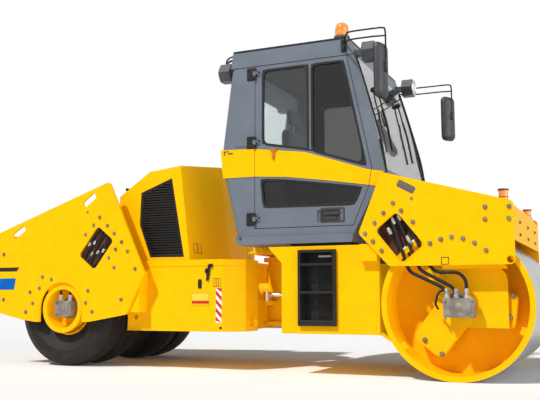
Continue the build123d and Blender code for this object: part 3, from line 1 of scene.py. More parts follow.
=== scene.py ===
import bpy
import bmesh
import json
from math import cos, pi, radians, sin
from mathutils import Matrix, Vector


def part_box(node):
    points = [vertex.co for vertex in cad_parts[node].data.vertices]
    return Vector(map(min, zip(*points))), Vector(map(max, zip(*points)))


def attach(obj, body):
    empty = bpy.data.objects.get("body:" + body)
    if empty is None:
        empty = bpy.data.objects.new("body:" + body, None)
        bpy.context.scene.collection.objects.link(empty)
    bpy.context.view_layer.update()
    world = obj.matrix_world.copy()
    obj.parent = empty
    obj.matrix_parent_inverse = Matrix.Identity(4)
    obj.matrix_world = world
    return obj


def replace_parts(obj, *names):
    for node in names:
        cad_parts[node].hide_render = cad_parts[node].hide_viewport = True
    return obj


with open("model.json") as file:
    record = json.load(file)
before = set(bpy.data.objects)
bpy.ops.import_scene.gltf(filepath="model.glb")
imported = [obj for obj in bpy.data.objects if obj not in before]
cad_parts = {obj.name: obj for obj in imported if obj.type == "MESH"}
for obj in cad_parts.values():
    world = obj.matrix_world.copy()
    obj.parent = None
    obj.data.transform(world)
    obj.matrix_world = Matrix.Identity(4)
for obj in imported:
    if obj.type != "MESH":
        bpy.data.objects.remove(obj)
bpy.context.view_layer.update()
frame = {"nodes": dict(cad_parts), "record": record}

# Places of the main pieces, in metres, in the frame's axes
DRUM_X, DRUM_Z = 2.06, 0.6
TYRE_X, TYRE_Z = -1.71, 0.551
PLATE_OUT = 0.905
REAR_SIDE = 0.755
# Side plane of the dark sheets behind the hood grilles, which are painted shade
SHADE_SHEET_SIDE = 0.64
STEP_BACK = 0.735
CARRIER_FACE = 0.695
DRUM_MOTOR_FACE = 0.89
WHEEL_MOTOR_FACE = 0.872
CAB_SIDE = 0.791
FRONT, REAR = "front_frame_body", "rear_frame_body"


def rgb(red, green, blue):
    """Linear colour from screen values of 0 to 255."""
    return tuple(((v / 255 + 0.055) / 1.055) ** 2.4 if v > 10 else v / 255 / 12.92
                 for v in (red, green, blue)) + (1.0,)


# Materials, each entered in finish under its own name

finish = {}


def put(node, values):
    """Sets inputs of a shader node that nothing is linked to."""
    for name, value in values.items():
        node.inputs[name].default_value = value


def noise(tree, scale, detail=4.0, stretch=(1.0, 1.0, 1.0)):
    """Noise in the object's own coordinates."""
    place = tree.nodes.new("ShaderNodeTexCoord")
    mapping = tree.nodes.new("ShaderNodeMapping")
    mapping.inputs["Scale"].default_value = stretch
    tree.links.new(place.outputs["Object"], mapping.inputs["Vector"])
    made = tree.nodes.new("ShaderNodeTexNoise")
    put(made, {"Scale": scale, "Detail": detail})
    tree.links.new(mapping.outputs["Vector"], made.inputs["Vector"])
    return made.outputs["Fac"]


def band(tree, value, low, high, start=0.0, end=1.0):
    """Value from low to high, turned smoothly into start to end."""
    made = tree.nodes.new("ShaderNodeMapRange")
    made.interpolation_type = "SMOOTHSTEP"
    put(made, {"From Min": low, "From Max": high, "To Min": start, "To Max": end})
    tree.links.new(value, made.inputs["Value"])
    return made.outputs["Result"]


def times(tree, one, two):
    """Product of two values, held between 0 and 1."""
    made = tree.nodes.new("ShaderNodeMath")
    made.operation = "MULTIPLY"
    made.use_clamp = True
    for place, value in enumerate((one, two)):
        if isinstance(value, float):
            made.inputs[place].default_value = value
        else:
            tree.links.new(value, made.inputs[place])
    return made.outputs["Value"]


def blend_colour(tree, factor, one, two):
    """Colour one where the factor is 0, and two where it is 1."""
    made = tree.nodes.new("ShaderNodeMix")
    made.data_type = "RGBA"
    for place, value in ((6, one), (7, two)):
        if isinstance(value, tuple):
            made.inputs[place].default_value = value
        else:
            tree.links.new(value, made.inputs[place])
    tree.links.new(factor, made.inputs["Factor"])
    return made.outputs[2]


def height(tree):
    """Height above the ground in metres, in the object's own coordinates."""
    place = tree.nodes.new("ShaderNodeTexCoord")
    parts = tree.nodes.new("ShaderNodeSeparateXYZ")
    tree.links.new(place.outputs["Object"], parts.inputs["Vector"])
    return parts.outputs["Z"]


def surface(name, tone, other, rough=(0.35, 0.5), metal=0.0, grain=9.0, fine=130.0,
            bump=0.02, bump_scale=400.0, dust=None, dust_top=1.0, dust_most=0.35,
            chip=None, chip_edge=0.71, coat=0.0, specular=0.5):
    """Painted, cast or moulded finish: two close tones, dust that thins out with height,
    small chips, uneven gloss and a fine grain in the surface."""
    tone, other, dust, chip = (rgb(*c) if c else None for c in (tone, other, dust, chip))
    made = bpy.data.materials.new(name)
    made.use_nodes = True
    tree = made.node_tree
    shader = tree.nodes["Principled BSDF"]
    put(shader, {"Metallic": metal, "Coat Weight": coat, "Specular IOR Level": specular})
    colour = blend_colour(tree, band(tree, noise(tree, grain), 0.35, 0.68), tone, other)
    if dust:
        low = band(tree, height(tree), 0.05, dust_top, 1.0, 0.0)
        patch = band(tree, noise(tree, fine / 9, 6.0), 0.35, 0.75, 0.25, 1.0)
        colour = blend_colour(tree, times(tree, times(tree, low, patch), dust_most), colour, dust)
    if chip:
        spots = band(tree, noise(tree, fine, 2.0), chip_edge, chip_edge + 0.03)
        colour = blend_colour(tree, spots, colour, chip)
    tree.links.new(colour, shader.inputs["Base Color"])
    tree.links.new(band(tree, noise(tree, grain * 2.5, 6.0), 0.3, 0.7, *rough),
                   shader.inputs["Roughness"])
    finish[name] = made
    if bump:
        relief = tree.nodes.new("ShaderNodeBump")
        put(relief, {"Strength": bump, "Distance": 0.002})
        tree.links.new(noise(tree, bump_scale, 3.0), relief.inputs["Height"])
        tree.links.new(relief.outputs["Normal"], shader.inputs["Normal"])
    return made


def clear(name, tint):
    """Window glass with a slightly uneven gloss."""
    made = surface(name, tint, tint, rough=(0.02, 0.07), bump=0.0)
    put(made.node_tree.nodes["Principled BSDF"], {"Transmission Weight": 1.0, "IOR": 1.45})
    return made


DUST = (168, 150, 120)
YELLOW = (255, 192, 0)
surface("yellow_paint", YELLOW, (253, 187, 0), rough=(0.42, 0.55), dust=(206, 150, 40),
        dust_top=0.9, dust_most=0.16, chip=(196, 140, 10), chip_edge=0.76, specular=0.07)
surface("grey_paint", (104, 113, 124), (98, 107, 118), grain=4.0, rough=(0.4, 0.5), dust=DUST,
        dust_top=1.6, dust_most=0.06, specular=0.35)
surface("black_paint", (18, 17, 16), (24, 22, 20), rough=(0.4, 0.6), dust=DUST, dust_most=0.05,
        specular=0.3)
surface("engine_paint", (60, 60, 62), (46, 46, 48), rough=(0.5, 0.7))
surface("steel", (178, 178, 176), (160, 160, 160), rough=(0.28, 0.42), metal=0.6, bump=0.05,
        bump_scale=160.0)
surface("chrome", (225, 225, 225), (205, 205, 205), rough=(0.08, 0.16), metal=1.0, bump=0.0)
surface("cast", (150, 142, 132), (112, 104, 94), rough=(0.45, 0.65), metal=0.3, bump=0.25,
        bump_scale=220.0)
surface("rubber", (22, 21, 20), (30, 28, 26), rough=(0.5, 0.7), bump=0.08, specular=0.3)
surface("tyre", (22, 20, 19), (17, 16, 15), rough=(0.45, 0.6), grain=5.0, dust=(72, 66, 60),
        dust_top=0.5, dust_most=0.22, bump=0.1, bump_scale=260.0, specular=0.25)
clear("glass", (236, 242, 242))
surface("mirror_housing", (50, 50, 54), (40, 40, 44), rough=(0.4, 0.55), bump=0.06)
surface("amber", (246, 150, 30), (236, 132, 20), rough=(0.12, 0.2), bump=0.0, coat=0.6)
surface("lamp", (70, 76, 82), (56, 62, 68), rough=(0.35, 0.5))
surface("fabric", (58, 58, 62), (48, 48, 52), rough=(0.8, 0.95), bump=0.3, bump_scale=900.0)
surface("trim", (46, 46, 48), (38, 38, 40), rough=(0.5, 0.7), bump=0.08)

for row in frame["record"]["subparts"]:
    piece = frame["nodes"][row["node"]]
    piece.data.materials.clear()
    piece.data.materials.append(finish[row["material_slot"]])

surface("bolt", (150, 142, 108), (120, 112, 84), rough=(0.35, 0.5), metal=0.5, bump=0.0)
surface("zinc", (205, 205, 200), (160, 160, 156), rough=(0.2, 0.35), metal=0.8, bump=0.0)
surface("blue", (9, 104, 187), (6, 92, 170), rough=(0.45, 0.55), bump=0.0, specular=0.07)
surface("red", (200, 26, 20), (190, 22, 16), rough=(0.35, 0.45), bump=0.0)
surface("white", (244, 244, 240), (234, 234, 230), rough=(0.35, 0.45), bump=0.0)
surface("label", (246, 206, 60), (240, 198, 50), rough=(0.35, 0.45), bump=0.0)
surface("brown_ink", (120, 76, 20), (104, 66, 18), rough=(0.4, 0.5), bump=0.0)
surface("amber_dark", (190, 120, 20), (170, 104, 14), rough=(0.3, 0.4), bump=0.0)
# Dark red-brown painted shade: the colour of sheets that stand in for yellow steel lying in shadow
# behind the side plates' windows and the hood grilles.
surface("painted_shade", (92, 36, 12), (58, 22, 8), rough=(0.6, 0.8))
clear("smoked_glass", (92, 90, 88))
surface("lens", (214, 222, 226), (196, 206, 212), rough=(0.08, 0.15), bump=0.0, coat=0.5)
surface("red_lens", (170, 16, 12), (150, 12, 10), rough=(0.1, 0.18), bump=0.0, coat=0.5)
surface("lining", (86, 90, 98), (74, 78, 86), rough=(0.7, 0.9), bump=0.1)

# Shapes in mesh code

def flank(side, reach):
    """Matrix that stands a drawing of x and z in a side plane and faces it outward."""
    return Matrix(((1, 0, 0, 0), (0, 0, -side, -side * reach), (0, 1, 0, 0), (0, 0, 0, 1)))


def planes(reach):
    """Side planes on the right and the left, at a distance from the middle."""
    return [flank(side, reach) for side in BOTH]


def facing(place, direction):
    """Matrix at a place, with its own Z along a direction."""
    turn = Vector(direction).to_track_quat("Z", "Y").to_matrix().to_4x4()
    return Matrix.Translation(place) @ turn


def at(x, y, z=0):
    """Matrix that moves to a place."""
    return Matrix.Translation((x, y, z))


def prism(form, outline, low, high, place):
    """Solid with an outline, from one height to another."""
    base = [form.verts.new(place @ Vector((x, y, low))) for x, y in outline]
    top = [form.verts.new(place @ Vector((x, y, high))) for x, y in outline]
    form.faces.new(base)
    form.faces.new(top)
    for k, start in enumerate(base):
        n = (k + 1) % len(base)
        form.faces.new((start, base[n], top[n], top[k]))


def frame_ring(form, outer, inner, low, high, place):
    """Flat frame between two outlines with as many points."""
    loops = [[form.verts.new(place @ Vector((x, y, z))) for x, y in outline]
             for outline, z in ((outer, low), (outer, high), (inner, high), (inner, low))]
    join_loops(form, loops + loops[:1])


def join_loops(form, loops):
    """Faces between loops of points; a loop of one point closes an end."""
    for one, two in zip(loops, loops[1:]):
        for k in range(max(len(one), len(two))):
            n = (k + 1) % max(len(one), len(two))
            if len(one) == 1:
                form.faces.new((one[0], two[n], two[k]))
            elif len(two) == 1:
                form.faces.new((one[k], one[n], two[0]))
            else:
                form.faces.new((one[k], one[n], two[n], two[k]))


def lathe(form, profile, place, steps=24):
    """Turned solid from radii and heights along its own Z."""
    loops = []
    for radius, level in profile:
        if radius < 1e-6:
            loops.append([form.verts.new(place @ Vector((0, 0, level)))])
        else:
            angles = [2 * pi * k / steps for k in range(steps)]
            ring = [Vector((radius * cos(a), radius * sin(a), level)) for a in angles]
            loops.append([form.verts.new(place @ point) for point in ring])
    join_loops(form, loops)


def smooth(points, parts=6):
    """Points along a curve that passes through the given points."""
    ends = [Vector(p) for p in points]
    ends = [2 * ends[0] - ends[1]] + ends + [2 * ends[-1] - ends[-2]]
    curve = []
    for a, b, c, d in zip(ends, ends[1:], ends[2:], ends[3:]):
        for k in range(parts):
            t = k / parts
            curve.append(0.5 * (2 * b + (c - a) * t + (2 * a - 5 * b + 4 * c - d) * t * t
                                + (3 * b - a - 3 * c + d) * t ** 3))
    return curve + [ends[-2]]


def disc(radius, low, high):
    """Profile of a plain disc for lathe."""
    return (0, low), (radius, low), (radius, high), (0, high)


def tube(form, points, radius, steps=10, parts=6):
    """Round tube along a smooth curve through the points."""
    path = smooth(points, parts) if parts > 1 else [Vector(p) for p in points]
    across = (path[1] - path[0]).orthogonal().normalized()
    loops = [[form.verts.new(path[0])]]
    for k, point in enumerate(path):
        ahead = (path[min(k + 1, len(path) - 1)] - path[max(k - 1, 0)]).normalized()
        across = (across - across.dot(ahead) * ahead).normalized()
        other = ahead.cross(across)
        loops.append([form.verts.new(point + radius * (cos(2 * pi * n / steps) * across
                                                       + sin(2 * pi * n / steps) * other))
                      for n in range(steps)])
    loops.append([form.verts.new(path[-1])])
    join_loops(form, loops)


def bolt(form, place, across=0.03):
    """Hexagonal screw head on its washer."""
    lathe(form, disc(across * 0.74, 0, 0.004), place, 18)
    lathe(form, ((0, 0.0035), (across * 0.577, 0.0035), (across * 0.577, across * 0.55),
                 (across * 0.47, across * 0.64), (0, across * 0.64)), place, 6)


def rounded(outline, radius, steps=5):
    """Outline with each corner turned into an arc."""
    made = []
    for k, corner in enumerate(outline):
        here = Vector(corner)
        before = (Vector(outline[k - 1]) - here)
        after = (Vector(outline[(k + 1) % len(outline)]) - here)
        reach = min(radius, 0.45 * before.length, 0.45 * after.length)
        start, end = here + before.normalized() * reach, here + after.normalized() * reach
        for n in range(steps + 1):
            t = n / steps
            made.append(tuple((1 - t) ** 2 * start + 2 * t * (1 - t) * here + t * t * end))
    return made


def shifted(outline, distance):
    """Outline moved outward by a distance, or inward where it is negative."""
    area = sum(x * q - p * y for (x, y), (p, q) in zip(outline, outline[1:] + outline[:1]))
    sign = 1 if area > 0 else -1
    made = []
    for k, corner in enumerate(outline):
        here = Vector(corner)
        one = (here - Vector(outline[k - 1])).normalized()
        two = (Vector(outline[(k + 1) % len(outline)]) - here).normalized()
        normal_one = sign * Vector((one.y, -one.x))
        normal_two = sign * Vector((two.y, -two.x))
        middle = (normal_one + normal_two).normalized()
        made.append(tuple(here + middle * (distance / max(0.3, middle.dot(normal_one)))))
    return made


def box_outline(low, high):
    """Rectangle from its lowest to its highest corner."""
    return [(low[0], low[1]), (high[0], low[1]), (high[0], high[1]), (low[0], high[1])]


def soft_box(low, high, radius, steps=5):
    """Rectangle with round corners."""
    return rounded(box_outline(low, high), radius, steps)


def tilted(middle, length, width, degrees):
    """Rectangle about a middle, turned by an angle."""
    along = Vector((cos(radians(degrees)), sin(radians(degrees)))) * length / 2
    up = Vector((-sin(radians(degrees)), cos(radians(degrees)))) * width / 2
    middle = Vector(middle)
    return [tuple(middle - along - up), tuple(middle + along - up), tuple(middle + along + up),
            tuple(middle - along + up)]


def linked(name, data):
    """New object in the scene."""
    piece = bpy.data.objects.new(name, data)
    bpy.context.collection.objects.link(piece)
    return piece


def made(name, form, look, body, slot=None, bevel=0.0, angle=35):
    """Scene piece from mesh code, with its finish and its body. The slot argument, which falls
    back to the finish's name, is not used."""
    slot = slot or look
    bmesh.ops.recalc_face_normals(form, faces=form.faces)
    mesh = bpy.data.meshes.new(name)
    form.to_mesh(mesh)
    form.free()
    mesh.materials.append(finish[look])
    for face in mesh.polygons:
        face.use_smooth = True
    mesh.set_sharp_from_angle(angle=radians(angle))
    piece = linked(name, mesh)
    if bevel:
        edge = piece.modifiers.new("edge", "BEVEL")
        edge.width = bevel
        edge.segments = 2
        edge.limit_method = "ANGLE"
        edge.angle_limit = radians(angle)
        edge.harden_normals = True
    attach(piece, body)
    return piece


SIDES = (("right", 1), ("left", -1))
BOTH = tuple(side for name, side in SIDES)
UPRIGHT = flank(1, 0)

# Side plates: bolts, stripes and what shows in their windows

FRONT_WINDOW, REAR_WINDOW = (1.6358, 1.1342), (-1.3146, 1.1248)
WINDOW_SIZE = (0.35, 0.235)
FRONT_TILT, REAR_TILT = -51, 52
FRONT_BOLTS = ((1.590, 1.414), (1.656, 1.350), (1.750, 1.253), (1.509, 1.337), (1.433, 1.257),
               (1.351, 1.174), (1.418, 1.107), (1.490, 1.029), (1.884, 1.078), (1.970, 1.108),
               (2.055, 1.124), (2.142, 1.109), (2.230, 1.073), (2.315, 1.013), (2.318, 1.349),
               (2.315, 1.254), (2.496, 1.346), (2.493, 1.253))
REAR_BOLTS = ((-1.279, 1.417), (-1.349, 1.345), (-1.189, 1.334), (-1.440, 1.257),
              (-1.111, 1.257), (-1.025, 1.174), (-1.090, 1.107), (-0.958, 1.086),
              (-1.166, 1.029), (-1.103, 0.937), (-0.869, 0.921), (-1.939, 0.858),
              (-1.831, 0.833), (-1.974, 0.748), (-2.086, 0.710), (-2.050, 0.601),
              (-2.131, 0.516), (-1.396, 0.720), (-1.417, 0.606), (-1.340, 0.524),
              (-1.016, 0.638), (-2.435, 1.088), (-2.419, 0.638))


def side_plate_details():
    """Bolts, stripes, blank labels and window edges on the side plates."""
    for name, body, places, across, small in (
            ("front_plate_bolts", FRONT, FRONT_BOLTS, 0.026, (1.742, 1.444)),
            ("rear_plate_bolts", REAR, REAR_BOLTS, 0.024, (-1.422, 1.473))):
        bolts = bmesh.new()
        for plane in planes(PLATE_OUT):
            for x, z in places:
                bolt(bolts, plane @ at(x, z), across)
            bolt(bolts, plane @ at(*small), 0.016)
        made(name, bolts, "bolt", body, "steel")
    tail_end = -2.655
    for name, look, low, high, ends in (
            ("black_stripe", "black_paint", 0.915, 0.955, (-2.262, -2.231)),
            ("blue_stripe", "blue", 0.734, 0.847, (-2.289, -2.269))):
        paint = bmesh.new()
        for plane in planes(PLATE_OUT):
            prism(paint, ((tail_end, low), (ends[0], low), (ends[1], high), (tail_end, high)), 0,
                  0.0012, plane)
        made(name, paint, look, REAR, "black_paint")
    blank = bmesh.new()
    for plane in planes(PLATE_OUT):
        frame_ring(blank, box_outline((1.968, 0.909), (2.029, 0.969)),
                   box_outline((1.974, 0.915), (2.023, 0.963)), 0, 0.001, plane)
    made("front_plate_label", blank, "black_paint", FRONT)
    edge = bmesh.new()
    for plane in planes(PLATE_OUT):
        outline = tilted(FRONT_WINDOW, *WINDOW_SIZE, FRONT_TILT)
        frame_ring(edge, rounded(shifted(outline, 0.008), 0.045), rounded(outline, 0.04), 0,
                   0.003, plane)
    made("front_window_edge", edge, "yellow_paint", FRONT)


def window_guts():
    """Panels coloured as painted shade, hoses and fittings behind the windows of the side plates.
    """
    # Front panel: a dark sheet behind the window, coloured as painted shade of the shaded steel
    # inside.
    panel = bmesh.new()
    arc = [(DRUM_X + 0.62 * cos(a), DRUM_Z + 0.62 * sin(a))
           for a in (radians(148 - 6 * k) for k in range(10))]
    for plane in planes(0.79):
        prism(panel, [(1.445, 0.93)] + arc + [(arc[-1][0], 1.415), (1.56, 1.415), (1.445, 1.36)],
              0, 0.006, plane)
    made("front_window_shade_panel", panel, "painted_shade", FRONT, "black_paint")
    thin, sleeves = bmesh.new(), bmesh.new()
    for side in BOTH:
        for start, end in (((1.56, 1.35), (1.7, 0.98)), ((1.49, 1.3), (1.62, 1.0))):
            middle = ((start[0] + end[0]) / 2 + 0.02, (start[1] + end[1]) / 2, 0.01)
            route = ((start[0] - 0.03, start[1] + 0.07, 0), (*start, 0.004), middle,
                     (*end, 0.0), (end[0] + 0.03, end[1] - 0.06, -0.01))
            tube(thin, [flank(side, 0.815) @ Vector(point) for point in route], 0.011)
        for x, z in ((1.578, 1.272), (1.628, 1.3), (1.672, 1.318), (1.545, 1.19), (1.7, 1.12)):
            turned = flank(side, 0.858) @ at(x, z) @ facing((0, 0, 0), (0.45, -0.89, 0))
            lathe(sleeves, ((0, -0.03), (0.0165, -0.03), (0.0165, -0.012), (0.0195, -0.012),
                            (0.0195, 0.012), (0.0165, 0.012), (0.0165, 0.03), (0, 0.03)), turned,
                  12)
    made("front_window_hoses", thin, "rubber", FRONT)
    made("front_hose_fittings", sleeves, "zinc", FRONT, "steel")
    # Rear panel: a dark sheet behind the rear window, coloured as painted shade.
    panel, thin, sleeves = bmesh.new(), bmesh.new(), bmesh.new()
    along = Vector((cos(radians(REAR_TILT)), sin(radians(REAR_TILT)), 0))
    over = Vector((-along.y, along.x, 0))
    for side in BOTH:
        prism(panel, rounded(tilted(REAR_WINDOW, *WINDOW_SIZE, REAR_TILT), 0.04), 0, 0.002,
              flank(side, 0.8803))
        place = flank(side, 0.8935) @ at(*REAR_WINDOW)
        for k, lane in enumerate((-0.078, -0.04, 0.004, 0.046, 0.084)):
            sway = 0.016 if k % 2 else -0.012
            tube(thin, [place @ (along * t + over * (lane + sway * u)) for t, u in (
                (-0.168, 0.0), (-0.1, 1.0), (0.0, 0.2), (0.09, -0.8), (0.168, 0.2))], 0.0105)
            lathe(sleeves, ((0, -0.02), (0.0125, -0.02), (0.0125, -0.007), (0.0145, -0.007),
                            (0.0145, 0.007), (0.0125, 0.007), (0.0125, 0.02), (0, 0.02)),
                  place @ Matrix.Translation(along * (0.03 - 0.05 * (k % 3))
                                             + over * (lane + 0.1 * sway))
                  @ facing((0, 0, 0), along), 12)
    made("rear_window_shade_panel", panel, "painted_shade", REAR, "black_paint")
    made("rear_window_hoses", thin, "rubber", REAR)
    made("rear_hose_fittings", sleeves, "zinc", REAR, "steel")


# Rear frame and hood

def rear_frame_details():
    """Hazard strip, blank labels, latch, lock, caps and lashing rings."""
    white, red = bmesh.new(), bmesh.new()
    low, high = (-0.0995, 0.43), (-0.042, 0.739)
    for plane in planes(REAR_SIDE):
        prism(white, box_outline(low, high), 0, 0.001, plane)
        for k in range(5):
            base = low[1] + (k - 0.5) * 0.0775
            points = [(high[0], base), (high[0], base + 0.0387), (low[0], base + 0.0967),
                      (low[0], base + 0.058)]
            inside = [(x, min(max(z, low[1]), high[1])) for x, z in points]
            prism(red, inside, 0, 0.0016, plane)
    made("hazard_white", white, "white", REAR, "yellow_paint")
    made("hazard_red", red, "red", REAR, "yellow_paint")
    label, lines, strip = bmesh.new(), bmesh.new(), bmesh.new()
    for plane in planes(REAR_SIDE):
        frame_ring(lines, box_outline((-0.348, 0.578), (-0.17, 0.697)),
                   box_outline((-0.345, 0.581), (-0.173, 0.694)), 0, 0.001, plane)
        prism(label, box_outline((-0.345, 0.63), (-0.173, 0.694)), 0, 0.0008, plane)
        prism(strip, box_outline((-0.345, 0.6), (-0.173, 0.626)), 0, 0.0012, plane)
        frame_ring(lines, box_outline((-0.131, 0.752), (-0.05, 0.829)),
                   box_outline((-0.127, 0.756), (-0.054, 0.825)), 0, 0.001, plane)
        for across in (-0.11, -0.092, -0.074):
            prism(lines, box_outline((across - 0.003, 0.756), (across + 0.003, 0.825)), 0, 0.001,
                  plane)
    made("frame_label", label, "label", REAR, "yellow_paint")
    made("frame_label_lines", lines, "brown_ink", REAR, "black_paint")
    made("frame_label_strip", strip, "red", REAR, "yellow_paint")
    latch = bmesh.new()
    for side in BOTH:
        place = flank(side, REAR_SIDE + 0.002)
        prism(latch, rounded([(-0.215, 0.895), (-0.185, 0.895), (-0.172, 0.958), (-0.135, 0.96),
                              (-0.128, 0.936), (-0.16, 0.92), (-0.166, 0.86), (-0.176, 0.806),
                              (-0.196, 0.806), (-0.19, 0.862)], 0.008), 0, 0.016, place)
        lathe(latch, disc(0.013, 0.012, 0.026), place @ at(-0.188, 0.905), 16)
        lathe(latch, disc(0.009, 0.012, 0.022), place @ at(-0.15, 0.945), 16)
        prism(latch, soft_box((-0.284, 0.735), (-0.246, 0.822), 0.019, 8), 0, 0.006,
              flank(side, REAR_SIDE))
    made("side_latch", latch, "black_paint", REAR, bevel=0.002)
    caps = bmesh.new()
    for plane in planes(REAR_SIDE):
        for x, z, radius in ((-1.135, 0.452, 0.02), (-0.05, 0.385, 0.012)):
            lathe(caps, ((0, 0), (radius, 0), (radius, 0.004), (0, 0.005)), plane @ at(x, z), 18)
    made("frame_caps", caps, "black_paint", REAR)
    ring = bmesh.new()
    for side in BOTH:
        points = [(0.155 + 0.03 * cos(a), -side * 0.5, 0.428 + 0.024 * sin(a))
                  for a in (radians(30 * k) for k in range(13))]
        tube(ring, points, 0.007, 8, 3)
    made("lashing_rings", ring, "yellow_paint", REAR)


def hood_details():
    """Blank labels on the slanted front faces, and dark sheets with diagonal bars behind the
    grilles as painted shade of the hood's inside.
    """
    blank = bmesh.new()
    for side in BOTH:
        ahead = Vector((0.9898, -side * 0.08, 0.119)).normalized()
        across = Vector((0, 0, 1)).cross(ahead).normalized()
        rise = ahead.cross(across)
        corner = Vector((-0.3966, -side * 0.571, 1.1145))
        face = Matrix((*zip(across, rise, ahead, corner), (0, 0, 0, 1)))
        for low, high in (((-0.066, -0.048), (-0.006, 0.048)), ((0.006, -0.048), (0.066, 0.048))):
            inner = box_outline((low[0] + 0.008, low[1] + 0.005),
                                (high[0] - 0.008, high[1] - 0.005))
            frame_ring(blank, box_outline(low, high), inner, 0, 0.001, face)
    made("hood_label", blank, "brown_ink", "hood_body", "black_paint")
    # Black sheets and dark brown diagonal bars behind the grilles: painted shade standing in for
    # the shaded inside of the hood.
    shade_sheet, strip = bmesh.new(), bmesh.new()
    for plane in planes(SHADE_SHEET_SIDE):
        prism(shade_sheet, ((-0.985, 1.33), (-0.985, 1.64), (-0.61, 1.775), (-0.47, 1.02),
                       (-0.83, 1.02)), 0, 0.003, plane)
        prism(strip, ((-0.9, 1.375), (-0.53, 1.5), (-0.525, 1.47), (-0.885, 1.335)), 0.003, 0.02,
              plane)
    made("hood_shade_sheets", shade_sheet, "black_paint", "hood_body")
    made("hood_shade_bars", strip, "painted_shade", "hood_body", "black_paint")


# Cab

HINGE_LEVELS = (1.343, 2.034, 2.666)
PANES = {
    "rear": [(0.374, 2.012), (0.788, 1.935), (0.818, 1.925), (0.818, 2.695), (0.374, 2.695)],
    "front": [(0.844, 1.917), (1.34, 1.754), (1.144, 2.695), (0.844, 2.695)],
    "lower": [(0.385, 1.443), (1.229, 1.431), (1.299, 1.578), (0.961, 1.63), (0.609, 1.679),
              (0.358, 1.7)],
}


def door_windows():
    """Rubber seals round the door's panes, and the panes themselves."""
    for name, side in SIDES:
        body = f"door_{name}_body"
        seal = bmesh.new()
        for key, outline in PANES.items():
            outer = rounded(shifted(outline, 0.004), 0.055)
            inner = rounded(shifted(outline, -0.016), 0.048)
            frame_ring(seal, outer, inner, -0.014, 0.0045, flank(side, CAB_SIDE))
        made(f"door_seals_{name}", seal, "rubber", body, bevel=0.0015)
        for key, look in (("rear", "glass"), ("front", "smoked_glass"), ("lower", "smoked_glass")):
            pane = bmesh.new()
            prism(pane, rounded(shifted(PANES[key], -0.002), 0.05), -0.0165, -0.0105,
                  flank(side, CAB_SIDE))
            panes = made(f"door_pane_{key}_{name}", pane, look, body, "glass")
            if key == "rear":
                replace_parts(panes, f"door_glass_{name}")
        lever = bmesh.new()
        place = flank(side, CAB_SIDE)
        frame_ring(lever, soft_box((0.918, 1.287), (1.142, 1.415), 0.02),
                   soft_box((0.934, 1.303), (1.126, 1.399), 0.016), -0.004, 0.003, place)
        prism(lever, soft_box((0.936, 1.305), (1.124, 1.397), 0.016), -0.0135, -0.0125, place)
        prism(lever, soft_box((0.948, 1.356), (1.112, 1.384), 0.012), -0.012, 0.006, place)
        lathe(lever, disc(0.014, -0.012, 0.002), place @ at(1.095, 1.328), 20)
        prism(lever, box_outline((0.95, 1.312), (1.06, 1.345)), -0.013, -0.008, place)
        made(f"door_lever_{name}", lever, "trim", body, bevel=0.002)
        screws = bmesh.new()
        for level in HINGE_LEVELS:
            for x, z in ((0.328, level - 0.012), (0.344, level + 0.01)):
                bolt(screws, flank(side, CAB_SIDE + 0.01) @ at(x, z), 0.011)
        made(f"door_hinge_screws_{name}", screws, "black_paint", body)


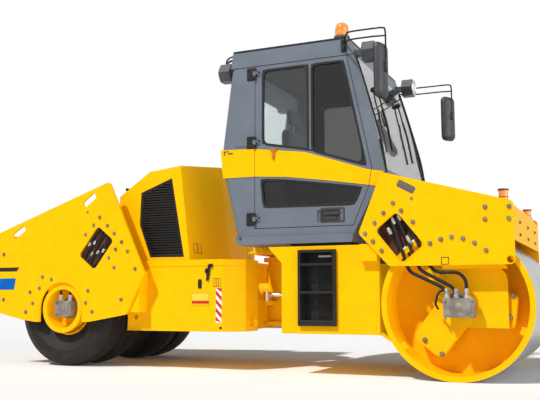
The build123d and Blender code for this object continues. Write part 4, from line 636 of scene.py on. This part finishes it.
def cab_trim():
    """Hinge plates, roof edge and seams, sill marks, door gaskets and band fittings."""
    plates = bmesh.new()
    for side in BOTH:
        for level in HINGE_LEVELS:
            place = flank(side, CAB_SIDE)
            prism(plates, soft_box((0.222, level - 0.058), (0.296, level + 0.058), 0.01), 0,
                  0.006, place)
            for x, z in ((0.238, level + 0.04), (0.238, level - 0.04), (0.262, level)):
                bolt(plates, flank(side, CAB_SIDE + 0.006) @ at(x, z), 0.012)
    made("hinge_plates", plates, "black_paint", FRONT, bevel=0.001)
    edge = bmesh.new()
    loops = []
    for x_out, side_out, level in ((0.0, 0.0, 2.884), (0.008, 0.006, 2.886),
                                   (0.008, 0.006, 2.898), (0.0, 0.0, 2.9005),
                                   (-0.02, -0.02, 2.9005)):
        corners = [(0.08 - x_out, -0.791 - side_out), (1.179 + x_out, -0.791 - side_out),
                   (1.179 + x_out, 0.791 + side_out), (0.08 - x_out, 0.791 + side_out)]
        loops.append([edge.verts.new((x, y, level)) for x, y in rounded(corners, 0.04)])
    join_loops(edge, loops + loops[:1])
    made("roof_edge", edge, "black_paint", FRONT)
    drip = bmesh.new()
    for place in planes(CAB_SIDE):
        prism(drip, ((0.045, 2.733), (1.243, 2.733), (1.243, 2.739), (0.045, 2.739)), 0, 0.0015,
              place)
        prism(drip, ((0.098, 2.003), (0.302, 2.003), (0.302, 2.007), (0.098, 2.007)), 0, 0.001,
              place)
    made("roof_seam", drip, "black_paint", FRONT)
    groove = bmesh.new()
    for place in planes(CAB_SIDE + 0.02):
        for outline in (box_outline((0.15, 1.167), (0.186, 1.174)),
                        box_outline((0.165, 1.152), (0.172, 1.188))):
            prism(groove, outline, -0.004, 0.001, place)
    made("sill_mark", groove, "black_paint", FRONT)
    gasket = bmesh.new()
    for place in planes(CAB_SIDE):
        outline = [(0.298, 1.256), (1.214, 1.256), (1.352, 1.59), (1.383, 1.741), (1.172, 2.738),
                   (0.298, 2.738)]
        frame_ring(gasket, outline, shifted(outline, -0.0045), -0.03, -0.006, place)
    made("door_gasket", gasket, "rubber", FRONT)
    marks = bmesh.new()
    for place in planes(CAB_SIDE + 0.006):
        prism(marks, [(-0.006, 1.975), (0.04, 1.975), (0.04, 1.966), (0.006, 1.966),
                      (0.002, 1.936), (-0.01, 1.936)], 0, 0.003, place)
        prism(marks, box_outline((0.034, 1.944), (0.082, 1.957)), 0, 0.003, place)
    made("band_marks", marks, "brown_ink", FRONT, "black_paint")
    for name, side in SIDES:
        bracket = bmesh.new()
        prism(bracket, rounded([(0.455, 1.965), (0.52, 1.965), (0.52, 1.95), (0.5, 1.942),
                                (0.496, 1.868), (0.476, 1.868), (0.474, 1.94), (0.455, 1.95)],
                               0.006), 0, 0.016, flank(side, CAB_SIDE + 0.006))
        made(f"band_bracket_{name}", bracket, "amber_dark", f"door_{name}_body", "yellow_paint",
             0.002)


def windshield_dress():
    """Seals beside the windshield, two wipers, their motor and strips on the pillars."""
    seal = bmesh.new()
    curve = [(1.488, 1.7), (1.443, 1.985), (1.386, 2.209), (1.29, 2.552), (1.232, 2.738)]
    for y in (-0.722, 0.722):
        tube(seal, [(x + 0.002, y, z) for x, z in curve], 0.011, 8)
    made("windshield_seal", seal, "rubber", FRONT)
    wipers = bmesh.new()
    for y in (-0.42, 0.3):
        tube(wipers, [(1.316, y + 0.05, 2.52), (1.345, y + 0.02, 2.44), (1.392, y, 2.27),
                      (1.44, y - 0.02, 2.1)], 0.007, 8)
        tube(wipers, [(1.372, y + 0.015, 2.335), (1.418, y - 0.005, 2.18),
                      (1.47, y - 0.03, 1.93)], 0.01, 8)
        lathe(wipers, ((0, -0.02), (0.024, -0.02), (0.024, 0.02), (0.014, 0.03), (0, 0.03)),
              facing((1.312, y + 0.05, 2.525), (0.94, 0, 0.34)), 18)
    made("wipers", wipers, "black_paint", FRONT)
    motor = bmesh.new()
    lathe(motor, ((0, 0), (0.075, 0), (0.082, 0.012), (0.07, 0.045), (0.03, 0.06), (0, 0.062)),
          facing((1.378, -0.36, 2.245), (-0.94, 0, -0.3)), 24)
    made("wiper_motor", motor, "trim", FRONT)
    strips = bmesh.new()
    for side in BOTH:
        tube(strips, [(x - 0.01, -side * 0.735, z) for x, z in curve[1:]], 0.009, 8)
    made("pillar_strips", strips, "zinc", FRONT, "steel")


def lamps_and_beacon():
    """Lenses, rims and brackets of the work lamps, and the beacon on its foot."""
    lens, rims = bmesh.new(), bmesh.new()
    for side in BOTH:
        for x, z, ahead in ((-0.09, 2.735, -1), (1.4, 2.775, 1)):
            place = facing((x, -side * 0.671, z), (ahead, 0, 0))
            lathe(rims, ((0.06, -0.004), (0.078, -0.004), (0.082, 0.004), (0.076, 0.009),
                         (0.066, 0.009), (0.06, 0.004), (0.06, -0.004)), place, 30)
            lathe(lens, ((0, 0.01), (0.03, 0.009), (0.052, 0.006), (0.064, 0.001),
                         (0.064, -0.003), (0, -0.003)), place, 30)
    made("lamp_lenses", lens, "lens", FRONT, "lamp")
    made("lamp_rims", rims, "zinc", FRONT, "lamp")
    brackets = bmesh.new()
    for side in BOTH:
        tube(brackets, [(0.075, -side * 0.62, 2.885), (0.02, -side * 0.63, 2.875),
                        (-0.035, -side * 0.65, 2.86), (-0.045, -side * 0.671, 2.815)], 0.011, 8)
        tube(brackets, [(0.075, -side * 0.74, 2.88), (0.01, -side * 0.73, 2.868),
                        (-0.035, -side * 0.7, 2.85), (-0.045, -side * 0.68, 2.815)], 0.008, 8)
    made("lamp_brackets", brackets, "black_paint", FRONT, "lamp")
    glow = bmesh.new()
    lathe(glow, ((0, 2.949), (0.06, 2.949), (0.062, 2.954), (0.062, 2.99), (0.0605, 2.993),
                 (0.0605, 2.997), (0.062, 3.0), (0.06, 3.03), (0.052, 3.058), (0.034, 3.074),
                 (0.012, 3.08), (0, 3.08)), at(1.085, -0.65), 36)
    dome = made("beacon_lens", glow, "amber", FRONT)
    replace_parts(dome, "beacon_dome")
    foot = bmesh.new()
    lathe(foot, ((0, 2.9), (0.07, 2.9), (0.074, 2.906), (0.074, 2.93), (0.066, 2.95), (0, 2.951)),
          at(1.085, -0.65), 36)
    made("beacon_foot", foot, "black_paint", FRONT, "lamp")


def mirrors_and_arms():
    """Mirror shells, each turned by its own angle, on two tubes each."""
    body = FRONT
    shells, faces, arms, clamps = (bmesh.new() for k in range(4))
    for side in BOTH:
        x = 1.545 if side == 1 else 1.68
        y = -side * 1.005
        turn = at(x, y) @ Matrix.Rotation(radians(-14 if side == 1 else -32), 4, "Z")
        loops = []
        for depth, inset in ((-0.03, 0.004), (-0.034, 0.01), (-0.03, 0.016), (-0.026, 0.018),
                             (-0.022, 0.0), (-0.004, 0.0), (0.016, 0.01), (0.028, 0.028),
                             (0.034, 0.055)):
            shape = rounded(shifted(box_outline((-0.084, 2.268), (0.084, 2.732)), -inset),
                            max(0.02, 0.055 - 0.5 * inset), 7)
            loops.append([shells.verts.new(turn @ Vector((depth, a, z))) for a, z in shape])
        join_loops(shells, loops)
        shells.faces.new(loops[-1])
        shells.faces.new(loops[0])
        glass_edge = soft_box((-0.067, 2.286), (0.067, 2.714), 0.045, 7)
        prism(faces, glass_edge, 0.0, 0.003, turn @ Matrix(((0, 0, -1, -0.0245), (1, 0, 0, 0),
                                                            (0, 1, 0, 0), (0, 0, 0, 1))))
        foot = -side * 0.8
        top, low = 2.858, 2.79
        for level in (top, low):
            tube(arms, [(1.15, foot, level - 0.01), (1.185, -side * 0.86, level - 0.005),
                        (1.235, -side * 0.975, level), (1.29, y, level + 0.004),
                        (x - 0.06, y, level + 0.004)], 0.0075, 8)
        tube(arms, [(x - 0.06, y, top + 0.004), (x + 0.012, y, top), (x + 0.034, y, top - 0.03),
                    (x + 0.036, y, 2.7), (x + 0.036, y, 2.56)], 0.0075, 8)
        tube(arms, [(x - 0.06, y, low + 0.004), (x, y, low), (x + 0.036, y, low)], 0.0075, 8)
        prism(clamps, soft_box((-0.026, 2.48), (0.026, 2.58), 0.01), 0.02, 0.046,
              Matrix(((0, 0, 1, x), (1, 0, 0, y), (0, 1, 0, 0), (0, 0, 0, 1))))
        prism(clamps, soft_box((1.125, 2.765), (1.175, 2.875), 0.012), 0, 0.014,
              flank(side, CAB_SIDE))
    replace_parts(made("mirror_shells", shells, "mirror_housing", body, "mirror_housing"),
                "mirrors")
    made("mirror_faces", faces, "chrome", body, "mirror_housing")
    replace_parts(made("mirror_tubes", arms, "black_paint", body, "black_paint"), "mirror_arms")
    made("mirror_clamps", clamps, "black_paint", body, bevel=0.003)


def steering_wheel_dress():
    """Rim with a round grip, three flat spokes, hub cap and a turning knob."""
    tilt = radians(25)
    middle = Vector((1.0795, 0, 1.8993))
    place = facing(middle, (-sin(tilt), 0, cos(tilt)))
    wheel = bmesh.new()
    loops = []
    for k in range(48):
        a = 2 * pi * k / 48
        loops.append([wheel.verts.new(place @ Vector((
            (0.175 + 0.014 * cos(b)) * cos(a), (0.175 + 0.014 * cos(b)) * sin(a),
            0.014 * sin(b)))) for b in (2 * pi * n / 10 for n in range(10))])
    join_loops(wheel, loops + loops[:1])
    lathe(wheel, ((0, -0.038), (0.04, -0.038), (0.044, -0.02), (0.044, 0.016), (0.036, 0.03),
                  (0, 0.036)), place, 28)
    for k in range(3):
        turned = place @ Matrix.Rotation(2 * pi * k / 3, 4, "Z")
        prism(wheel, ((0.035, -0.02), (0.1, -0.013), (0.168, -0.015), (0.168, 0.015),
                      (0.1, 0.013), (0.035, 0.02)), -0.005, 0.005, turned)
    knob = place @ at(0.15, 0.09, 0.01)
    lathe(wheel, ((0, 0), (0.01, 0), (0.01, 0.012), (0.02, 0.02), (0.022, 0.036), (0.014, 0.046),
                  (0, 0.048)), knob, 18)
    grip = made("steering_wheel_rim", wheel, "trim", "steering_wheel_body", bevel=0.001)
    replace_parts(grip, "steering_wheel")


def settle(pad, modifier):
    """Applies one modifier of a cushion."""
    with bpy.context.temp_override(object=pad, active_object=pad, selected_objects=[pad]):
        bpy.ops.object.modifier_apply(modifier=modifier)


def swollen(name, low, high, crown, body, look="fabric", narrow=0.0):
    """Cushion blown up by cloth pressure from a slightly smaller block."""
    size = Vector(high) - Vector(low)
    inset = 0.018
    form = bmesh.new()
    bmesh.ops.create_cube(form, size=1.0)
    bmesh.ops.subdivide_edges(form, edges=form.edges, cuts=7, use_grid_fill=True)
    middle = (Vector(low) + Vector(high)) / 2
    for point in form.verts:
        spread = 1 - narrow * max(0.0, point.co.z)
        point.co = Vector((point.co.x * (size.x - 2 * inset), point.co.y * spread
                           * (size.y - 2 * inset), point.co.z * (size.z - 2 * inset))) + middle
    mesh = bpy.data.meshes.new(name)
    form.to_mesh(mesh)
    form.free()
    pad = linked(name, mesh)
    bpy.context.view_layer.objects.active = pad
    soft = pad.modifiers.new("soft", "BEVEL")
    soft.width = 0.022
    soft.segments = 4
    settle(pad, "soft")
    grid = pad.modifiers.new("grid", "REMESH")
    grid.mode = "VOXEL"
    grid.voxel_size = 0.009
    settle(pad, "grid")
    start = [v.co.copy() for v in pad.data.vertices]
    cloth = pad.modifiers.new("cloth", "CLOTH")
    cloth.settings.use_pressure = True
    cloth.settings.uniform_pressure_force = 4.0
    cloth.settings.effector_weights.gravity = 0.0
    scene = bpy.context.scene
    for step in range(1, 21):
        scene.frame_set(step)
    seen = pad.evaluated_get(bpy.context.evaluated_depsgraph_get())
    blown = [v.co.copy() for v in seen.data.vertices]
    pad.modifiers.remove(cloth)
    scene.frame_set(1)
    for point, before, after in zip(pad.data.vertices, start, blown):
        move = after - before
        if move.length > crown:
            move = move.normalized() * crown
        point.co = before + move
        for axis in range(3):
            point.co[axis] = min(max(point.co[axis], low[axis]), high[axis])
    pad.data.materials.append(finish[look])
    for face in pad.data.polygons:
        face.use_smooth = True
    fine = pad.modifiers.new("fine", "SUBSURF")
    fine.levels = fine.render_levels = 1
    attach(pad, body)
    return pad


def seat():
    """Soft pads over the seat base, with seams, headrest posts and arm rests."""
    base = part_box("seat_cushion")
    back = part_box("seat_back")
    cushion = swollen("seat_pad", base[0], base[1], 0.024, FRONT)
    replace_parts(cushion, "seat_cushion")
    low, high = Vector(back[0]), Vector(back[1])
    neck = low.z + 0.56
    rest = swollen("seat_rest", low, (high.x, high.y, neck - 0.004), 0.024, FRONT, narrow=0.24)
    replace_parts(rest, "seat_back")
    swollen("seat_headrest", (low.x + 0.012, -0.135, neck + 0.012),
            (high.x - 0.008, 0.135, high.z), 0.02, FRONT)
    seams = bmesh.new()
    for y in (-0.135, 0.135):
        tube(seams, [(high.x - 0.006, y * 1.05, low.z + 0.05), (high.x - 0.001, y, low.z + 0.2),
                     (high.x - 0.001, y, low.z + 0.4), (high.x - 0.012, y * 0.9, neck - 0.045)],
             0.004, 6)
        tube(seams, [(base[0][0] + 0.12, y, base[1][2] - 0.002),
                     (base[0][0] + 0.26, y, base[1][2] - 0.0005),
                     (base[0][0] + 0.4, y, base[1][2] - 0.002),
                     (base[1][0] - 0.012, y, base[1][2] - 0.016)], 0.004, 6)
    made("seat_seams", seams, "trim", FRONT)
    posts = bmesh.new()
    for y in (-0.06, 0.06):
        tube(posts, [(low.x + 0.055, y, neck - 0.03), (low.x + 0.055, y, neck + 0.04)], 0.007, 8,
             1)
    for y in (-0.285, 0.285):
        tube(posts, [(low.x + 0.06, y, low.z + 0.14), (low.x + 0.14, y, low.z + 0.155),
                     (low.x + 0.37, y, low.z + 0.15)], 0.026, 12)
        tube(posts, [(low.x + 0.05, y, low.z + 0.1), (low.x + 0.055, y * 0.88, low.z + 0.1)],
             0.02, 12, 1)
    made("seat_arms", posts, "trim", FRONT)


def console_dress():
    """Dash dials, lever console, head lining and floor mat."""
    dash = bmesh.new()
    place = facing((1.045, 0, 1.775), (-0.5, 0, 0.87))
    prism(dash, rounded([(-0.16, -0.07), (0.16, -0.07), (0.16, 0.07), (-0.16, 0.07)], 0.03),
          -0.02, 0.012, place)
    for y in (-0.1, 0.0, 0.1):
        lathe(dash, ((0, 0.012), (0.03, 0.012), (0.03, 0.02), (0.024, 0.02), (0.024, 0.016),
                     (0, 0.016)), place @ at(y, 0.015), 24)
    made("dash_panel", dash, "trim", FRONT, bevel=0.002)
    side_box = bmesh.new()
    y = -0.37
    prism(side_box, rounded([(0.42, 1.62), (0.86, 1.62), (0.9, 1.72), (0.88, 1.78), (0.44, 1.76)],
                            0.02), 0.3, 0.43, UPRIGHT)
    tube(side_box, [(0.8, y, 1.77), (0.8, y, 1.84), (0.78, y, 1.9)], 0.009, 8)
    lathe(side_box, ((0, 0), (0.02, 0.004), (0.026, 0.03), (0.02, 0.06), (0, 0.07)),
          facing((0.78, y, 1.895), (-0.2, 0, 1)), 18)
    prism(side_box, box_outline((0.5, 1.203), (0.62, 1.63)), 0.33, 0.4, UPRIGHT)
    made("lever_console", side_box, "trim", FRONT, bevel=0.004)
    lining = bmesh.new()
    prism(lining, rounded([(0.11, -0.72), (1.13, -0.72), (1.13, 0.72), (0.11, 0.72)], 0.05), 2.8,
          2.812, Matrix())
    made("head_lining", lining, "lining", FRONT, "trim", 0.004)
    mat = bmesh.new()
    prism(mat, rounded([(0.2, -0.7), (1.15, -0.7), (1.15, 0.7), (0.2, 0.7)], 0.03), 1.199, 1.206,
          Matrix())
    made("floor_mat", mat, "rubber", FRONT)


# Front frame, drum end and front beam

def step_dress():
    """Mesh behind the steps, teeth on their treads and a bare plate."""
    mesh, rungs = bmesh.new(), bmesh.new()
    for side in BOTH:
        for k in range(9):
            x = 0.885 + 0.019 * k
            tube(mesh, [(x, -side * STEP_BACK, 0.44), (x, -side * STEP_BACK, 1.03)], 0.0022, 4, 1)
        for k in range(30):
            z = 0.45 + 0.02 * k
            tube(mesh, [(0.878, -side * 0.7365, z), (1.044, -side * 0.7365, z)], 0.0022, 4, 1)
        for z in (0.457, 0.7, 0.936):
            for k in range(9):
                x = 0.765 + 0.034 * k
                prism(rungs, [(x, -side * 0.812), (x + 0.012, -side * 0.812),
                              (x + 0.012, -side * 0.8), (x, -side * 0.8)], z, z + 0.006, Matrix())
    made("step_mesh", mesh, "black_paint", FRONT)
    made("step_teeth", rungs, "black_paint", FRONT)
    bar = bmesh.new()
    for plane in planes(0.74):
        prism(bar, box_outline((0.885, 0.996), (1.0, 1.012)), 0, 0.004, plane)
    made("step_label", bar, "white", FRONT, "black_paint")


def drum_dress():
    """Bolts of the carriers, and ports, unions and a short hose at the drum motors."""
    heads = bmesh.new()
    for plane in planes(CARRIER_FACE):
        for x, z in ((1.778, 0.312), (1.913, 0.204)):
            bolt(heads, plane @ at(x, z), 0.03)
        for turn in (120, 240):
            for x, z in ((1.778, 0.312), (1.913, 0.204)):
                a = radians(turn)
                dx, dz = x - DRUM_X, z - DRUM_Z
                bolt(heads, plane @ at(DRUM_X + dx * cos(a) - dz * sin(a),
                                       DRUM_Z + dx * sin(a) + dz * cos(a)), 0.03)
    made("carrier_bolts", heads, "bolt", "drum_body", "steel")
    metal, unions, guards = bmesh.new(), bmesh.new(), bmesh.new()
    for side in BOTH:
        place = flank(side, DRUM_MOTOR_FACE)
        for x, z in ((1.985, 0.515), (2.195, 0.515), (1.985, 0.632), (2.195, 0.632)):
            bolt(metal, place @ at(x, z), 0.02)
        prism(metal, rounded([(1.99, 0.52), (2.06, 0.505), (2.15, 0.515), (2.19, 0.56),
                              (2.18, 0.63), (2.08, 0.645), (2.0, 0.63)], 0.025), 0.0, 0.006, place)
        lathe(metal, ((0, 0), (0.038, 0), (0.038, 0.005), (0.03, 0.01), (0, 0.01)),
              place @ at(2.09, 0.573), 24)
        for x in (1.995, 2.07, 2.15):
            stand = at(x, -side * 0.86, 0.648)
            lathe(unions, ((0, 0), (0.024, 0), (0.024, 0.022), (0.018, 0.024), (0.018, 0.045),
                           (0.021, 0.047), (0.021, 0.075), (0, 0.075)), stand, 6)
        tube(guards, [(1.925, -side * 0.845, 0.56), (1.905, -side * 0.845, 0.61),
                      (1.93, -side * 0.845, 0.69), (1.985, -side * 0.845, 0.715)], 0.009, 8)
    made("drum_motor_ports", metal, "cast", FRONT)
    made("drum_hose_unions", unions, "zinc", FRONT, "steel")
    made("drum_case_hoses", guards, "rubber", FRONT)


def beam_dress():
    """Feet and caps of the marker lamps and bolts on the front beam."""
    caps, stems = bmesh.new(), bmesh.new()
    low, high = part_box("marker_lamps")
    tall = high[2] - low[2]
    for side in BOTH:
        place = at(2.445, -side * 0.8, low[2])
        lathe(stems, ((0, 0), (0.046, 0), (0.046, 0.006), (0.04, 0.01), (0, 0.01)), place, 28)
        lathe(caps, ((0.0365, tall * 0.3), (0.038, tall * 0.31), (0.038, tall * 0.34),
                     (0.0365, tall * 0.35), (0.0365, tall * 0.3)), place, 28)
        lathe(caps, ((0, tall - 0.013), (0.0425, tall - 0.013), (0.0425, tall - 0.002),
                     (0.036, tall + 0.0005), (0, tall + 0.0005)), place, 28)
    made("marker_lamp_caps", caps, "black_paint", FRONT)
    made("marker_lamp_feet", stems, "black_paint", FRONT)
    nose = bmesh.new()
    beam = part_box("front_beam")
    for y in (-0.55, 0.0, 0.55):
        for z in (beam[0][2] + 0.06, beam[0][2] + 0.16):
            bolt(nose, facing((beam[1][0], y, z), (1, 0, 0)), 0.022)
    made("beam_bolts", nose, "bolt", FRONT, "steel")


# Articulation and wheels

def articulation_hoses():
    """Hose loops behind the front frame and a cross beam under the cab."""
    bundle, cuffs = bmesh.new(), bmesh.new()
    for k in range(6):
        y = -0.7 + 0.038 * k
        tube(bundle, [(0.6, y, 0.985), (0.57, y, 0.99), (0.545, y, 0.978),
                      (0.535, y + 0.02, 0.94), (0.543, y + 0.04, 0.902), (0.568, y + 0.05, 0.888),
                      (0.6, y + 0.05, 0.888)], 0.0155, 10)
        for x, z, shift in ((0.548, 0.99, 0.0), (0.548, 0.888, 0.05)):
            lathe(cuffs, disc(0.021, 0, 0.026), facing((x, y + shift, z), (1, 0, 0)), 12)
    made("frame_hoses", bundle, "rubber", FRONT)
    beam = bmesh.new()
    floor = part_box("cab_floor")[0][2]
    prism(beam, soft_box((0.135, 1.068), (0.2, floor), 0.008), 0, 0.9,
          Matrix(((1, 0, 0, 0), (0, 0, 1, -0.45), (0, 1, 0, 0), (0, 0, 0, 1))))
    for y in (-0.4, 0.4):
        bolt(beam, facing((0.225, y, floor), (0, 0, -1)), 0.018)
    made("cab_cross_beam", beam, "yellow_paint", FRONT, bevel=0.002)
    made("frame_hose_cuffs", cuffs, "zinc", FRONT, "steel")


def wheel_dress():
    """Ports and unions of the wheel motors."""
    metal, unions = bmesh.new(), bmesh.new()
    for side in BOTH:
        place = flank(side, WHEEL_MOTOR_FACE)
        prism(metal, soft_box((TYRE_X - 0.06, TYRE_Z - 0.05), (TYRE_X + 0.06, TYRE_Z + 0.05),
                              0.02), 0, 0.006, place)
        for x in (-0.078, 0.078):
            for z in (-0.058, 0.058):
                bolt(metal, place @ at(TYRE_X + x, TYRE_Z + z), 0.018)
        lathe(metal, ((0, 0.006), (0.03, 0.006), (0.03, 0.012), (0, 0.014)),
              place @ at(TYRE_X, TYRE_Z), 20)
        for x in (-0.055, 0.055):
            stand = at(TYRE_X + x, -side * 0.832, TYRE_Z + 0.075)
            lathe(unions, ((0, 0), (0.02, 0), (0.02, 0.018), (0.015, 0.02), (0.015, 0.034),
                           (0.018, 0.036), (0.018, 0.056), (0, 0.056)), stand, 6)
    made("wheel_motor_ports", metal, "cast", REAR)
    made("wheel_hose_unions", unions, "zinc", REAR, "steel")


def tail_dress():
    """Tail lamps with a red and an amber lens at the back."""
    low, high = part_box("tail_beam")
    red, amber, cases = bmesh.new(), bmesh.new(), bmesh.new()
    for side in BOTH:
        y = -side * 0.72
        place = Matrix(((0, 0, -1, low[0]), (1, 0, 0, 0), (0, 1, 0, 0), (0, 0, 0, 1)))
        middle = (low[2] + high[2]) / 2
        prism(cases, soft_box((y - 0.07, middle - 0.12), (y + 0.07, middle + 0.12), 0.015), 0,
              0.012, place)
        prism(red, soft_box((y - 0.058, middle - 0.005), (y + 0.058, middle + 0.108), 0.012),
              0.012, 0.018, place)
        prism(amber, soft_box((y - 0.058, middle - 0.108), (y + 0.058, middle - 0.015), 0.012),
              0.012, 0.018, place)
    made("tail_lamp_cases", cases, "black_paint", REAR, bevel=0.002)
    made("tail_lamp_red", red, "red_lens", REAR, "black_paint", 0.002)
    made("tail_lamp_amber", amber, "amber", REAR, "black_paint", 0.002)


side_plate_details()
window_guts()
rear_frame_details()
hood_details()
door_windows()
cab_trim()
windshield_dress()
lamps_and_beacon()
mirrors_and_arms()
steering_wheel_dress()
seat()
console_dress()
step_dress()
drum_dress()
beam_dress()
articulation_hoses()
wheel_dress()
tail_dress()


# Floor, light and camera

PHOTO_WIDTH = 540
FOCAL_LENGTH = 801.29
SENSOR = 36
EYE_PLACE, EYE_TURN = (3.303, -7.198, 0.64), (97.059, 0, 24.008)
SHADED_WORLD = 0.2
LIGHTS = (("sun", 3.0, 3, (-0.34, -0.76, 0.95)), ("fill", 1.05, 50, (0.86, -0.42, 0.16)),
          ("bounce", 0.75, 30, (1.0, 0.0, 0.1)))


def floor_and_light():
    """Pale floor, white world, three lights and the camera; focal length in pixels."""
    ground = bpy.data.meshes.new("floor")
    ground.from_pydata([(-40, -40, 0), (40, -40, 0), (40, 40, 0), (-40, 40, 0)], [],
                       [(0, 1, 2, 3)])
    floor = linked("floor", ground)
    paint = bpy.data.materials.new("floor")
    paint.use_nodes = True
    shader = paint.node_tree.nodes["Principled BSDF"]
    put(shader, {"Base Color": (0.93, 0.93, 0.93, 1.0), "Roughness": 0.9,
                 "Specular IOR Level": 0.0})
    ground.materials.append(paint)
    world = bpy.data.worlds.new("studio")
    bpy.context.scene.world = world
    world.use_nodes = True
    tree = world.node_tree
    shade = tree.nodes["Background"]
    shade.inputs["Color"].default_value = (1.0, 1.0, 1.0, 1.0)
    path = tree.nodes.new("ShaderNodeLightPath")
    seen = path.outputs["Is Camera Ray"]
    for other in ("Is Glossy Ray", "Is Transmission Ray"):
        made = tree.nodes.new("ShaderNodeMath")
        made.operation = "MAXIMUM"
        tree.links.new(seen, made.inputs[0])
        tree.links.new(path.outputs[other], made.inputs[1])
        seen = made.outputs["Value"]
    tree.links.new(band(tree, seen, 0.0, 1.0, SHADED_WORLD, 1.0), shade.inputs["Strength"])
    for name, energy, spread, way in LIGHTS:
        sun = bpy.data.lights.new(name, "SUN")
        sun.energy = energy
        sun.angle = radians(spread)
        sun.use_shadow = name != "bounce"
        lamp = linked(name, sun)
        lamp.rotation_euler = Vector(way).to_track_quat("Z", "Y").to_euler()
    eye = bpy.data.cameras.new("camera")
    eye.lens = FOCAL_LENGTH / PHOTO_WIDTH * SENSOR
    eye.sensor_width = SENSOR
    view = linked("camera", eye)
    view.location = EYE_PLACE
    view.rotation_euler = [radians(turn) for turn in EYE_TURN]
    bpy.context.scene.camera = view
    bpy.context.scene.view_settings.view_transform = "Standard"


floor_and_light()
